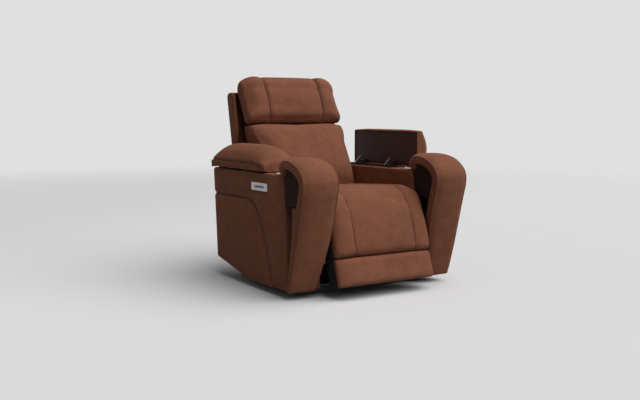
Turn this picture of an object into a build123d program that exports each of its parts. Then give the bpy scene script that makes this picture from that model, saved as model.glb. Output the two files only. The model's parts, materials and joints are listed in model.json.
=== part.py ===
"""Power recliner with console arms, lift-up lids, a chaise legrest, a reclining back and a tilting headrest.

Millimetres. +Z is up and the chair faces -Y. Left and right are as seen when facing the chair,
so left is -X. The left lid is shut, the right lid stands open, and every other joint is at its stop.
"""

import os
from math import atan2, cos, pi, radians, sin

from build123d import *

os.makedirs("parts", exist_ok=True)

# Clearances
touch_gap = 0.2
running_gap = 0.1
sliding_gap = 0.3
seam_groove = 3
overcut = 1
cut_past = 60
round_share = 0.3

# Widths that the seat sets
seat_half_width = 285
side_gap = 5
legrest_gap = 4
cushion_gap = 11
shell_gap = 10
tray_gap = 3
arm_inner_x = seat_half_width + side_gap
legrest_half_width = arm_inner_x - legrest_gap
cushion_half_width = arm_inner_x - cushion_gap
shell_lower_half_width = arm_inner_x - shell_gap

# Floor and base frame
glide_height = 4
glide_radius = 16
tube_height = 32
tube_width = 32
tube_wall = 2.5
runner_height = 25
runner_width = 28
front_tube_y = -300
middle_tube_y = 0
rear_tube_y = 280
runner_front_y = -318
runner_rear_y = 300
tube_top_z = glide_height + tube_height
runner_top_z = tube_top_z + touch_gap + runner_height

# Console arms
arm_width = 186
arm_outer_x = arm_inner_x + arm_width
arm_top_z = 592
arm_bottom_z = tube_top_z
arm_heel_y = 20
arm_front_top_y = -340
arm_front_bottom_y = -382
arm_rear_top_y = 436
arm_rear_bottom_y = 398
arm_rear_bottom_z = 104
arm_skin = 8
arm_board = 12
arm_post = 15
arm_corner_radius = 16
arm_edge_radius = 6
neck_inset = 36
panel_hem = 2
seam_z = 452
seam_bend_y = 50
seam_knee_y = -98
seam_knee_z = 365
seam_foot_y = -228
base_inset = 96
glide_inset = 24
base_half_width = arm_outer_x - base_inset

# Storage bin and cup holder in each arm
bin_front_y = -129
bin_floor_z = 440
bin_wall = 2.5
cup_inset = 102
cup_x = arm_inner_x + cup_inset
cup_y = -209
cup_radius = 43
cup_wall = 1.2
cup_depth = 74
cup_flange = 6
cup_flange_thickness = 2.5
cup_draft = 4

# Padded wing at the front of each arm
wing_overhang = 14
wing_outer_x = arm_outer_x + wing_overhang
wing_top_z = 676
wing_front_y = -557
wing_bottom_y = -408
wing_rear_y = -262
wing_pad = 70
wing_undercut = 76
wing_edge = 20
wing_shares = ((0, 0), (0.14, 0.7), (0.5, 1), (0.86, 0.7), (1, 0))
wing_taper_z = 350
wing_taper = 46
wing_shin = 67
wing_shin_z = 225
wing_chin = 12
wing_chin_z = 493
wing_nose_z = 570
wing_brow = 23
wing_brow_z = 626
wing_rise = 101
wing_rise_drop = 11
wing_summit = 205
wing_roll = 32
wing_roll_drop = 12
wing_roll_depth = 46

# Lids over the bins
lid_lip = 6
lid_inner_x = arm_inner_x - lid_lip
lid_front_y = -157
lid_rear_y = 448
lid_crown = 112
lid_side = 40
lid_overhang = 14
lid_board_thickness = 12
lid_edge = 6
lid_swing_gap = 8
lid_sections = ((0, 0.34), (0.06, 0.7), (0.2, 0.95), (0.5, 1), (0.8, 0.95), (0.94, 0.7), (1, 0.34))
hinge_inset = 2
hinge_x = arm_outer_x - hinge_inset
hinge_radius = 3
hinge_pin_radius = 1.4
hinge_leaf = 1.5
hinge_leaf_width = 18
hinge_knuckle = 22
hinge_places = (40, 330)

# Stays that hold the open lids
stay_places = (90, 385)
stay_length = 55
stay_lean = 48
stay_width = 7
stay_inset = 18
stay_sink = 4
stay_thickness = 3
stay_pin_radius = 2
stay_eye_radius = 5

# Mechanism: side plates, brackets, links and cranks lie side by side
plate_thickness = 6
layer_step = 10
pivot_radius = 8
link_pin_radius = 6
eye_radius = 24
link_eye_radius = 13
torque_radius = 12
pin_proud = 1
pin_reach = 3
plate_front_y = -280
plate_rear_y = 200
plate_waist_y = 188
plate_waist_z = 250
plate_nose_y = -300
plate_nose_z = 260
plate_hole_z = 165
front_hole_y = -195
front_hole_radius = 48
rear_hole_y = 120
rear_hole_radius = 42
leg_pivot_y = -352
leg_pivot_z = 413
leg_crank = 90
leg_crank_angle = -75
leg_drive_y = 260
leg_drive_z = -130
back_pivot_y = 230
back_pivot_z = 360
back_crank = 100
back_crank_angle = -60
back_drive_y = -200
back_drive_z = -60
bar_size = 30
motor_bar_z = 135
motor_half_depth = 28
motor_width = 80
motor_can_radius = 26
motor_can_length = 110
motor_can_lift = 6
motor_cap_share = 0.35
motor_cap_length = 6
leg_motor_x = 40
back_motor_x = -120

# Seat
rail_size = 30
rail_top_z = 410
front_rail_y = -300
rear_rail_y = 150
spring_wire = 4
spring_count = 4
spring_pitch = 110
spring_reach = 28
spring_turns = 8
seat_rear_y = 152
seat_drop = 28
seat_roll = 30
skin_edge = 80
skin_crown = 20
skin_shoulder = 0.6
shoulder_width = 36
seam_x = 180
seam_crown = 0.74
lobe_crown = 0.82
pad_back = 46

# Legrest, measured down and out from its pivot along the sloping front
legrest_slope = 18.4
legrest_pad_length = 251
legrest_length = 389
legrest_belly = 9
legrest_board = 14
legrest_depth = 60
legrest_start = 36
legrest_side = 15
pad_seam = 1
pad_roll = 33
lower_set_back = 8
lower_round = 20
lower_foot = 14
lower_foot_slant = 2
lower_foot_drop = 18
tray_set_back = 8
leg_bracket_lead = 6
leg_bracket_end = 230
leg_bracket_tip = 24
leg_bracket_knee = 60
leg_bracket_depth = 40
leg_bracket_heel = 10
plate_x = legrest_half_width - legrest_side - tray_gap - plate_thickness

# Back
back_inset = 3
back_half_width = cushion_half_width - back_inset
back_line_y = 330
back_line_z = 240
back_lean = 1 / 6
back_board = 12
back_board_bottom_z = 252
back_board_top_z = 800
cushion_bottom_z = 430
cushion_top_z = 817
cushion_front_y = 158
cushion_edge = 14
cushion_crown = 40
cushion_foot = 2
cushion_foot_rise = 75
cushion_lumbar = 13
cushion_lumbar_rise = 130
cushion_waist = 42
cushion_waist_rise = 195
cushion_chest = 92
cushion_chest_rise = 286
cushion_brow = 146
cushion_brow_drop = 18
cushion_roll = 160
cushion_roll_drop = 5
cushion_top_step = 178
back_bracket_rise = 50
back_bracket_gap = 6
back_bracket_depth = 30
shell_half_width = 328
shell_wall = 14
shell_ledge_z = 690
shell_top_z = 1000
shell_rear_y = 572
shell_lean = 0.2
shell_depth = 92
shell_lip = 62
shell_rear_round = 40
shell_front_round = 26

# Headrest
head_pivot_y = 383
head_pivot_z = 863
head_radius = 40
head_half_width = 300
head_top_z = 1092
head_thickness = 105
head_lean = 0.574
head_edge = 20
head_crown = 36
head_drop = 38
head_seam_x = 172
head_rounding = 62
head_belly = 22
head_belly_share = 0.58
head_brow = 8
head_crest = 46
head_plate_x = 203
head_plate = 6
head_pin_radius = 6
head_eye_radius = 16
head_motor_radius = 27
head_motor_length = 150
head_board = 10
head_board_inset = 60
head_board_half_width = head_half_width - head_board_inset
head_board_rise = 37
head_board_drop = 77
head_arm_share = 0.65
head_arm_tip = 16
head_arm_heel = 12
head_slot_gap = 2
head_slot_rise = 40
head_slot_lift = 10
head_slot_depth = 24
head_bracket_foot = 100
head_bracket_nose = 6
head_bracket_rise = 11
head_bracket_width = 46
head_bracket_shoulder = 50

# Control plate on the left arm
panel_rear_y = -23
panel_length = 165
panel_bottom_z = 503
panel_height = 39
panel_thickness = 4
panel_corner = 5
button_count = 5
button_length = 17
button_height = 12
button_pitch = 19
button_proud = 1.5
button_thickness = 3
button_corner = 2

# Control box
box_length = 130
box_width = 84
box_height = 42
box_corner = 6
box_edge = 3
inlet_radius = 5
inlet_depth = 12

# Places worked out from the sizes above
plate_top_z = rail_top_z
bracket_x = plate_x - layer_step
link_x = bracket_x - layer_step
crank_x = link_x - layer_step
arm_slope = (arm_rear_bottom_z - arm_bottom_z) / (arm_rear_bottom_y - arm_heel_y)
arm_front_slope = (arm_front_top_y - arm_front_bottom_y) / (arm_top_z - arm_bottom_z)
arm_rear_slope = (arm_rear_top_y - arm_rear_bottom_y) / (arm_top_z - arm_rear_bottom_z)
board_inner_x = arm_inner_x + arm_skin
cavity_inner_x = board_inner_x + arm_board
board_outer_x = arm_outer_x - arm_skin
cavity_outer_x = board_outer_x - arm_board
board_top_z = arm_top_z - arm_skin
hinge_z = arm_top_z + hinge_leaf / 3 + hinge_radius
lid_bottom_z = hinge_z + hinge_radius + touch_gap
stay_x = cavity_outer_x - bin_wall - stay_inset
stay_z = arm_top_z - stay_sink
leg_pin = (
    leg_pivot_y + leg_crank * cos(radians(leg_crank_angle)),
    leg_pivot_z + leg_crank * sin(radians(leg_crank_angle)),
)
leg_torque = (leg_pivot_y + leg_drive_y, leg_pivot_z + leg_drive_z)
leg_crank_pin = (leg_pin[0] + leg_drive_y, leg_pin[1] + leg_drive_z)
back_pin = (
    back_pivot_y + back_crank * cos(radians(back_crank_angle)),
    back_pivot_z + back_crank * sin(radians(back_crank_angle)),
)
back_torque = (back_pivot_y + back_drive_y, back_pivot_z + back_drive_z)
back_crank_pin = (back_pin[0] + back_drive_y, back_pin[1] + back_drive_z)
leg_pivot = (leg_pivot_y, leg_pivot_z)
back_pivot = (back_pivot_y, back_pivot_z)
head_pivot = (head_pivot_y, head_pivot_z)
head_shoulder_z = head_top_z - head_rounding
head_edge_z = head_shoulder_z - head_drop
head_rear_y = head_pivot_y + head_radius + (head_edge_z - head_pivot_z) * head_lean
head_front_y = head_rear_y - head_thickness
head_board_bottom_z = head_pivot_z + head_board_rise
head_board_top_z = head_top_z - head_board_drop
motor_bar_top_z = motor_bar_z + bar_size
sides = (("left", -1), ("right", 1))


def save(part, name):
    """Label a finished piece and write it out."""
    part.label = name
    export_step(part, f"parts/{name}.step")


def side_plane(side, inner, outer):
    """The YZ plane at the low X end of a piece lying between two distances from the middle."""
    return Plane.YZ.offset(min(side * inner, side * outer))


def outline(start, *steps, mode=Mode.ADD):
    """Fill a closed outline. A step is the next corner, or a point on an arc and the arc's end."""
    with BuildLine() as border:
        here = start
        for step in steps:
            if isinstance(step[0], tuple):
                ThreePointArc(here, step[0], step[1])
                here = step[1]
            else:
                Line(here, step)
                here = step
        if here != start:
            Line(here, start)
    return make_face(border.edges(), mode=mode)


def landing(start, end):
    """Arc step that comes down from a start behind to an end below it, and is level there."""
    rise = start[1] - end[1]
    radius = ((start[0] - end[0]) ** 2 + rise**2) / (2 * rise)
    middle = (atan2(rise - radius, start[0] - end[0]) - pi / 2) / 2
    return ((end[0] + radius * cos(middle), end[1] + radius + radius * sin(middle)), end)


def disc(centre, radius, mode=Mode.ADD):
    """A round in the open sketch."""
    with Locations(centre):
        Circle(radius, mode=mode)


def arm_front(z, inset=0):
    """Y of the sloping front of an arm at a height, moved in by an inset."""
    return arm_front_bottom_y + (z - arm_bottom_z) * arm_front_slope + inset


def arm_rear(z, inset=0):
    """Y of the sloping rear of an arm at a height, moved in by an inset."""
    return arm_rear_bottom_y + (z - arm_rear_bottom_z) * arm_rear_slope - inset


def arm_bottom(y, inset=0):
    """Z of an arm's underside at a Y, moved in by an inset."""
    return arm_bottom_z + max(0, y - arm_heel_y) * arm_slope + inset


def arm_outline(inset=0, top_z=arm_top_z, hem=0):
    """Side outline of an arm, drawn in front and rear by an inset and below by a hem, up to a height."""
    rear_z = arm_rear_bottom_z + hem
    return outline(
        (arm_front(top_z, inset), top_z),
        (arm_rear(top_z, inset), top_z),
        (arm_rear(rear_z, inset), rear_z),
        (arm_heel_y, arm_bottom_z + hem),
        (arm_front(arm_bottom_z + hem, inset), arm_bottom_z + hem),
    )


def panel_outline(grow=0):
    """Rear lower side panel inside its curved seam, on the outer side of an arm."""
    with BuildLine() as border:
        top = Line((arm_rear_top_y, seam_z), (seam_bend_y, seam_z))
        bend = TangentArc(top @ 1, (seam_knee_y, seam_knee_z), tangent=(-1, 0))
        fall = TangentArc(bend @ 1, (seam_foot_y, arm_bottom_z), tangent=bend % 1)
        Polyline(fall @ 1, (arm_rear_top_y, arm_bottom_z), top @ 0)
    make_face(border.edges())
    if grow:
        offset(amount=grow, kind=Kind.INTERSECTION)
    outline(
        (arm_front_bottom_y, arm_top_z),
        (arm_rear(arm_top_z, arm_skin), arm_top_z),
        (arm_rear(arm_rear_bottom_z, arm_skin), arm_rear_bottom_z + panel_hem),
        (arm_heel_y, arm_bottom_z + panel_hem),
        (arm_front_bottom_y, arm_bottom_z + panel_hem),
        mode=Mode.INTERSECT,
    )


def neck_front(z):
    """Y of the front of the neck block, which is also the back of the wing."""
    top_y = wing_front_y + wing_pad
    bottom_y = wing_bottom_y + wing_pad / 3
    return bottom_y + (top_y - bottom_y) * (z - arm_bottom_z) / (arm_top_z - arm_bottom_z)


def back_line(z, step=0):
    """Y of the front face of the back board at a height, moved back by a step."""
    return back_line_y + (z - back_line_z) * back_lean + step


def shell_line(z, step=0):
    """Y of the rear of the back shell at a height, moved forward by a step."""
    return shell_rear_y - (shell_top_z - z) * shell_lean - step


def legrest(down, out):
    """YZ point measured down along the legrest's front and out from its pivot."""
    slope = radians(legrest_slope)
    y = leg_pivot_y - down * sin(slope) - out * cos(slope)
    z = leg_pivot_z - down * cos(slope) + out * sin(slope)
    return (y, z)


def skin(crown):
    """Distance of the seat and legrest skin from the legrest pivot, for a share of the crown."""
    return skin_edge + skin_crown * crown


def crowned_sections(half_width):
    """X places across a crowned pad, with the share of the crown at each."""
    shoulder = half_width - shoulder_width
    return ((-half_width, 0), (-shoulder, skin_shoulder), (0, 1), (shoulder, skin_shoulder), (half_width, 0))


def lobes(half_width, seam):
    """The three sewn lobes across a pad: sections of each, with X and the share of the crown."""
    side = ((half_width, 0), ((half_width + seam) / 2, lobe_crown), (seam, seam_crown))
    left = [(-x, crown) for x, crown in side]
    middle = [(-seam, seam_crown), (0, 1), (seam, seam_crown)]
    right = [(x, crown) for x, crown in reversed(side)]
    return (left, middle, right)


def wing_sections():
    """X places across a wing, with the share of its crown at each."""
    width = wing_outer_x - arm_inner_x
    return [(arm_inner_x + share * width, crown) for share, crown in wing_shares]


def bone(first, first_radius, second, second_radius):
    """A bar with round ends in the open sketch."""
    disc(first, first_radius)
    disc(second, second_radius)
    make_hull()


# Base frame: cross tubes under the arms, with two runners on them
with BuildPart() as base_frame:
    for y in (front_tube_y, middle_tube_y, rear_tube_y):
        with BuildSketch(Plane.YZ.offset(-base_half_width)):
            with Locations((y, glide_height + tube_height / 2)):
                Rectangle(tube_width, tube_height)
                Rectangle(tube_width - 2 * tube_wall, tube_height - 2 * tube_wall, mode=Mode.SUBTRACT)
        extrude(amount=2 * base_half_width)
    for name, side in sides:
        with BuildSketch(Plane.XZ.offset(-runner_rear_y)):
            with Locations((side * (plate_x + plate_thickness / 2), runner_top_z - runner_height / 2)):
                Rectangle(runner_width, runner_height)
                Rectangle(runner_width - 2 * tube_wall, runner_height - 2 * tube_wall, mode=Mode.SUBTRACT)
        extrude(amount=runner_rear_y - runner_front_y)
save(base_frame.part, "base_frame")

with BuildPart() as floor_glides:
    with BuildSketch(Plane.XY):
        for y in (front_tube_y, rear_tube_y):
            with Locations((glide_inset - base_half_width, y), (base_half_width - glide_inset, y)):
                Circle(glide_radius)
    extrude(amount=glide_height)
save(floor_glides.part, "floor_glides")

# Side plates that carry every pivot
with BuildPart() as side_plates:
    for name, side in sides:
        with BuildSketch(side_plane(side, plate_x, plate_x + plate_thickness)):
            outline(
                (plate_front_y, runner_top_z + touch_gap),
                (plate_rear_y, runner_top_z + touch_gap),
                (plate_waist_y, plate_waist_z),
                (back_pivot_y + eye_radius * 0.7, back_pivot_z - eye_radius * 0.7),
                (back_pivot_y, back_pivot_z + eye_radius),
                (rear_rail_y + rail_size / 2, plate_top_z),
                (front_rail_y, plate_top_z),
                (leg_pivot_y, leg_pivot_z + eye_radius),
                (leg_pivot_y - eye_radius * 0.7, leg_pivot_z - eye_radius * 0.7),
                (plate_nose_y, plate_nose_z),
            )
            disc(leg_pivot, eye_radius)
            disc(back_pivot, eye_radius)
            disc(leg_pivot, pivot_radius + touch_gap / 4, Mode.SUBTRACT)
            disc(back_pivot, pivot_radius + touch_gap / 4, Mode.SUBTRACT)
            disc(leg_torque, torque_radius + running_gap, Mode.SUBTRACT)
            disc(back_torque, torque_radius + running_gap, Mode.SUBTRACT)
            disc((front_hole_y, plate_hole_z), front_hole_radius, Mode.SUBTRACT)
            disc((rear_hole_y, plate_hole_z), rear_hole_radius, Mode.SUBTRACT)
        extrude(amount=plate_thickness)
save(side_plates.part, "side_plates")

with BuildPart() as pivot_pins:
    for name, side in sides:
        pin_end = plate_x + plate_thickness + pin_proud
        with BuildSketch(side_plane(side, bracket_x - pin_reach, pin_end)):
            disc(leg_pivot, pivot_radius)
            disc(back_pivot, pivot_radius)
        extrude(amount=pin_end - bracket_x + pin_reach)
save(pivot_pins.part, "pivot_pins")

# Seat: two rails, zigzag springs and the cushion
with BuildPart() as seat_rails:
    for y in (front_rail_y, rear_rail_y):
        with BuildSketch(Plane.YZ.offset(-plate_x + touch_gap)):
            with Locations((y, rail_top_z - rail_size / 2)):
                Rectangle(rail_size, rail_size)
        extrude(amount=2 * (plate_x - touch_gap))
save(seat_rails.part, "seat_rails")

spring_step = (rear_rail_y - front_rail_y) / (spring_turns + 1)
with BuildPart() as seat_springs:
    for place in range(spring_count):
        spring_x = (place - (spring_count - 1) / 2) * spring_pitch
        with BuildSketch(Plane.XY.offset(rail_top_z)):
            with BuildLine():
                near = (spring_x, front_rail_y)
                for turn in range(spring_turns + 1):
                    reach = spring_reach if turn % 2 else -spring_reach
                    start_y = front_rail_y + turn * spring_step
                    end_y = start_y + spring_step
                    Line(near, (spring_x + reach, start_y))
                    ThreePointArc(
                        (spring_x + reach, start_y),
                        (spring_x + reach * (1 + spring_step / 2 / spring_reach), start_y + spring_step / 2),
                        (spring_x + reach, end_y),
                    )
                    near = (spring_x + reach, end_y)
                Line(near, (spring_x, rear_rail_y))
            trace(line_width=spring_wire)
        extrude(amount=spring_wire)
save(seat_springs.part, "seat_springs")

cushion_floor_z = rail_top_z + spring_wire + touch_gap
with BuildPart() as seat_cushion:
    for lobe in lobes(seat_half_width, seam_x):
        for x, crown in lobe:
            top_z = leg_pivot_z + skin(crown)
            rear_z = top_z - seat_drop
            with BuildSketch(Plane.YZ.offset(x)):
                outline(
                    (leg_pivot_y + touch_gap, top_z),
                    (seat_rear_y - seat_roll, rear_z),
                    (
                        (seat_rear_y - seat_roll * round_share, rear_z - seat_roll * round_share),
                        (seat_rear_y, rear_z - seat_roll),
                    ),
                    (seat_rear_y, cushion_floor_z),
                    (leg_pivot_y + pad_back, cushion_floor_z),
                    (leg_pivot_y + touch_gap, leg_pivot_z + pad_back),
                )
        loft()
save(seat_cushion.part, "seat_cushion")

# Chaise: the pad that bends over the legrest pivot
half_turn = radians(90 - legrest_slope) / 2
with BuildPart() as chaise_pad:
    for lobe in lobes(seat_half_width, seam_x):
        for x, crown in lobe:
            outer = skin(crown)
            with BuildSketch(Plane.YZ.offset(x)):
                outline(
                    (leg_pivot_y - touch_gap, leg_pivot_z + pad_back),
                    (leg_pivot_y - touch_gap, leg_pivot_z + outer),
                    (
                        (leg_pivot_y - outer * sin(half_turn), leg_pivot_z + outer * cos(half_turn)),
                        legrest(-touch_gap, outer),
                    ),
                    legrest(-touch_gap, pad_back),
                    (
                        (leg_pivot_y - pad_back * sin(half_turn), leg_pivot_z + pad_back * cos(half_turn)),
                        (leg_pivot_y - touch_gap, leg_pivot_z + pad_back),
                    ),
                )
        loft()
save(chaise_pad.part, "chaise_pad")

# Legrest: pad, lower panel, tray and brackets
pad_end = legrest_pad_length - pad_seam
with BuildPart() as legrest_pad:
    for lobe in lobes(seat_half_width, seam_x):
        for x, crown in lobe:
            outer = skin(crown)
            with BuildSketch(Plane.YZ.offset(x)):
                outline(
                    legrest(touch_gap, pad_back),
                    legrest(touch_gap, outer),
                    (
                        legrest(legrest_pad_length / 2, outer + legrest_belly * (1 + crown) / 2),
                        legrest(pad_end - pad_roll, outer),
                    ),
                    (
                        legrest(pad_end - pad_roll * 0.2, outer - pad_roll * 0.27),
                        legrest(pad_end, outer - pad_roll * 0.8),
                    ),
                    legrest(pad_end, pad_back),
                )
        loft()
save(legrest_pad.part, "legrest_pad")

with BuildPart() as legrest_lower_panel:
    for x, crown in crowned_sections(legrest_half_width):
        outer = skin(crown) - lower_set_back
        with BuildSketch(Plane.YZ.offset(x)):
            outline(
                legrest(legrest_pad_length, pad_back),
                legrest(legrest_pad_length, outer - lower_round),
                (
                    legrest(legrest_pad_length + lower_round * round_share, outer - lower_round * round_share),
                    legrest(legrest_pad_length + lower_round, outer),
                ),
                legrest(legrest_length - lower_foot, outer - lower_foot_slant),
                (
                    legrest(legrest_length - lower_foot * round_share, outer - lower_foot_drop * round_share),
                    legrest(legrest_length, outer - lower_foot_drop),
                ),
                legrest(legrest_length, pad_back),
            )
    loft()
save(legrest_lower_panel.part, "legrest_lower_panel")

tray_front = pad_back - touch_gap
tray_back = tray_front - legrest_depth
tray_end = legrest_length - tray_set_back
with BuildPart() as legrest_tray:
    with BuildSketch(Plane.YZ.offset(-legrest_half_width)):
        outline(
            legrest(legrest_start, tray_back),
            legrest(legrest_start, tray_front),
            legrest(tray_end, tray_front),
            legrest(tray_end, tray_back),
        )
    extrude(amount=2 * legrest_half_width)
    tray_inner = legrest_half_width - legrest_side
    with BuildSketch(Plane.YZ.offset(-tray_inner)):
        outline(
            legrest(legrest_start - overcut, tray_back - overcut),
            legrest(legrest_start - overcut, tray_front - legrest_board),
            legrest(tray_end - legrest_side, tray_front - legrest_board),
            legrest(tray_end - legrest_side, tray_back - overcut),
        )
    extrude(amount=2 * tray_inner, mode=Mode.SUBTRACT)
save(legrest_tray.part, "legrest_tray")

bracket_front = tray_front - legrest_board - touch_gap
with BuildPart() as legrest_brackets:
    for name, side in sides:
        with BuildSketch(side_plane(side, bracket_x, bracket_x + plate_thickness)):
            outline(
                legrest(legrest_start + leg_bracket_lead, bracket_front),
                legrest(leg_bracket_end, bracket_front),
                legrest(leg_bracket_end, bracket_front - leg_bracket_tip),
                legrest(leg_bracket_knee, bracket_front - leg_bracket_depth),
                legrest(leg_bracket_heel, -eye_radius),
                legrest(0, eye_radius),
            )
            disc(leg_pivot, eye_radius)
            with BuildSketch(mode=Mode.PRIVATE) as lever:
                bone(leg_pivot, eye_radius, leg_pin, link_eye_radius)
            add(lever.sketch)
            disc(leg_pivot, pivot_radius + running_gap, Mode.SUBTRACT)
        extrude(amount=plate_thickness)
        with BuildSketch(side_plane(side, link_x - pin_proud, bracket_x)):
            disc(leg_pin, link_pin_radius)
        extrude(amount=bracket_x - link_x + pin_proud)
save(legrest_brackets.part, "legrest_brackets")


def torque_tube(centre, crank_pin, label):
    """A drive tube in the side plates, with a crank and its pin near each end."""
    with BuildPart() as tube:
        with BuildSketch(Plane.YZ.offset(-plate_x - plate_thickness)):
            disc(centre, torque_radius)
        extrude(amount=2 * (plate_x + plate_thickness))
        for name, side in sides:
            with BuildSketch(side_plane(side, crank_x, crank_x + plate_thickness)):
                bone(centre, eye_radius, crank_pin, link_eye_radius)
            extrude(amount=plate_thickness)
            pin_end = link_x + plate_thickness + pin_proud
            with BuildSketch(side_plane(side, crank_x, pin_end)):
                disc(crank_pin, link_pin_radius)
            extrude(amount=pin_end - crank_x)
    save(tube.part, label)


def links(first, second, label):
    """A pair of flat links with an eye at each end."""
    with BuildPart() as pair:
        for name, side in sides:
            with BuildSketch(side_plane(side, link_x, link_x + plate_thickness)):
                bone(first, link_eye_radius, second, link_eye_radius)
                disc(first, link_pin_radius + running_gap, Mode.SUBTRACT)
                disc(second, link_pin_radius + running_gap, Mode.SUBTRACT)
            extrude(amount=plate_thickness)
    save(pair.part, label)


torque_tube(leg_torque, leg_crank_pin, "legrest_torque_tube")
links(leg_pin, leg_crank_pin, "legrest_links")
torque_tube(back_torque, back_crank_pin, "recline_torque_tube")
links(back_pin, back_crank_pin, "recline_links")

# Gearmotors on bars between the side plates
with BuildPart() as motor_bars:
    for y in (leg_torque[0], back_torque[0]):
        with BuildSketch(Plane.YZ.offset(-plate_x + touch_gap)):
            with Locations((y, motor_bar_z + bar_size / 2)):
                Rectangle(bar_size, bar_size)
        extrude(amount=2 * (plate_x - touch_gap))
save(motor_bars.part, "motor_bars")


def gearmotor(centre, start_x, facing, label):
    """A gearbox round a drive tube, with its motor can lying fore and aft, on a bar."""
    with BuildPart() as motor:
        with BuildSketch(Plane.YZ.offset(start_x)):
            outline(
                (centre[0] - motor_half_depth, motor_bar_top_z + touch_gap),
                (centre[0] + motor_half_depth, motor_bar_top_z + touch_gap),
                (centre[0] + motor_half_depth, centre[1]),
                ((centre[0], centre[1] + motor_half_depth), (centre[0] - motor_half_depth, centre[1])),
            )
        extrude(amount=motor_width)
        can_z = motor_bar_top_z + motor_can_radius + motor_can_lift
        can_start = centre[0] + facing * motor_half_depth
        can_plane = Plane(origin=(start_x + motor_width / 2, can_start, can_z), z_dir=(0, facing, 0))
        with BuildSketch(can_plane):
            Circle(motor_can_radius)
        extrude(amount=motor_can_length)
        with BuildSketch(can_plane.offset(motor_can_length)):
            Circle(motor_can_radius * motor_cap_share)
        extrude(amount=motor_cap_length)
        with BuildSketch(Plane.YZ.offset(start_x)):
            disc(centre, torque_radius + running_gap)
        extrude(amount=motor_width, mode=Mode.SUBTRACT)
    save(motor.part, label)


gearmotor(leg_torque, leg_motor_x, -1, "legrest_motor")
gearmotor(back_torque, back_motor_x, 1, "recline_motor")

# Control box with its power inlet, on the middle cross tube
with BuildPart() as control_box:
    with BuildSketch(Plane.XY.offset(tube_top_z + touch_gap)):
        with Locations((0, middle_tube_y + box_width / 2 - tube_width / 2)):
            RectangleRounded(box_length, box_width, box_corner)
    extrude(amount=box_height)
    fillet(control_box.faces().sort_by(Axis.Z)[-1].edges(), box_edge)
    box_rear_y = middle_tube_y + box_width - tube_width / 2
    with BuildSketch(Plane.XZ.offset(-box_rear_y)):
        with Locations((box_length / 4, tube_top_z + box_height / 2)):
            Circle(inlet_radius)
            Circle(inlet_radius / 4, mode=Mode.SUBTRACT)
    extrude(amount=inlet_depth, mode=Mode.SUBTRACT)
save(control_box.part, "control_box")

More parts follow.
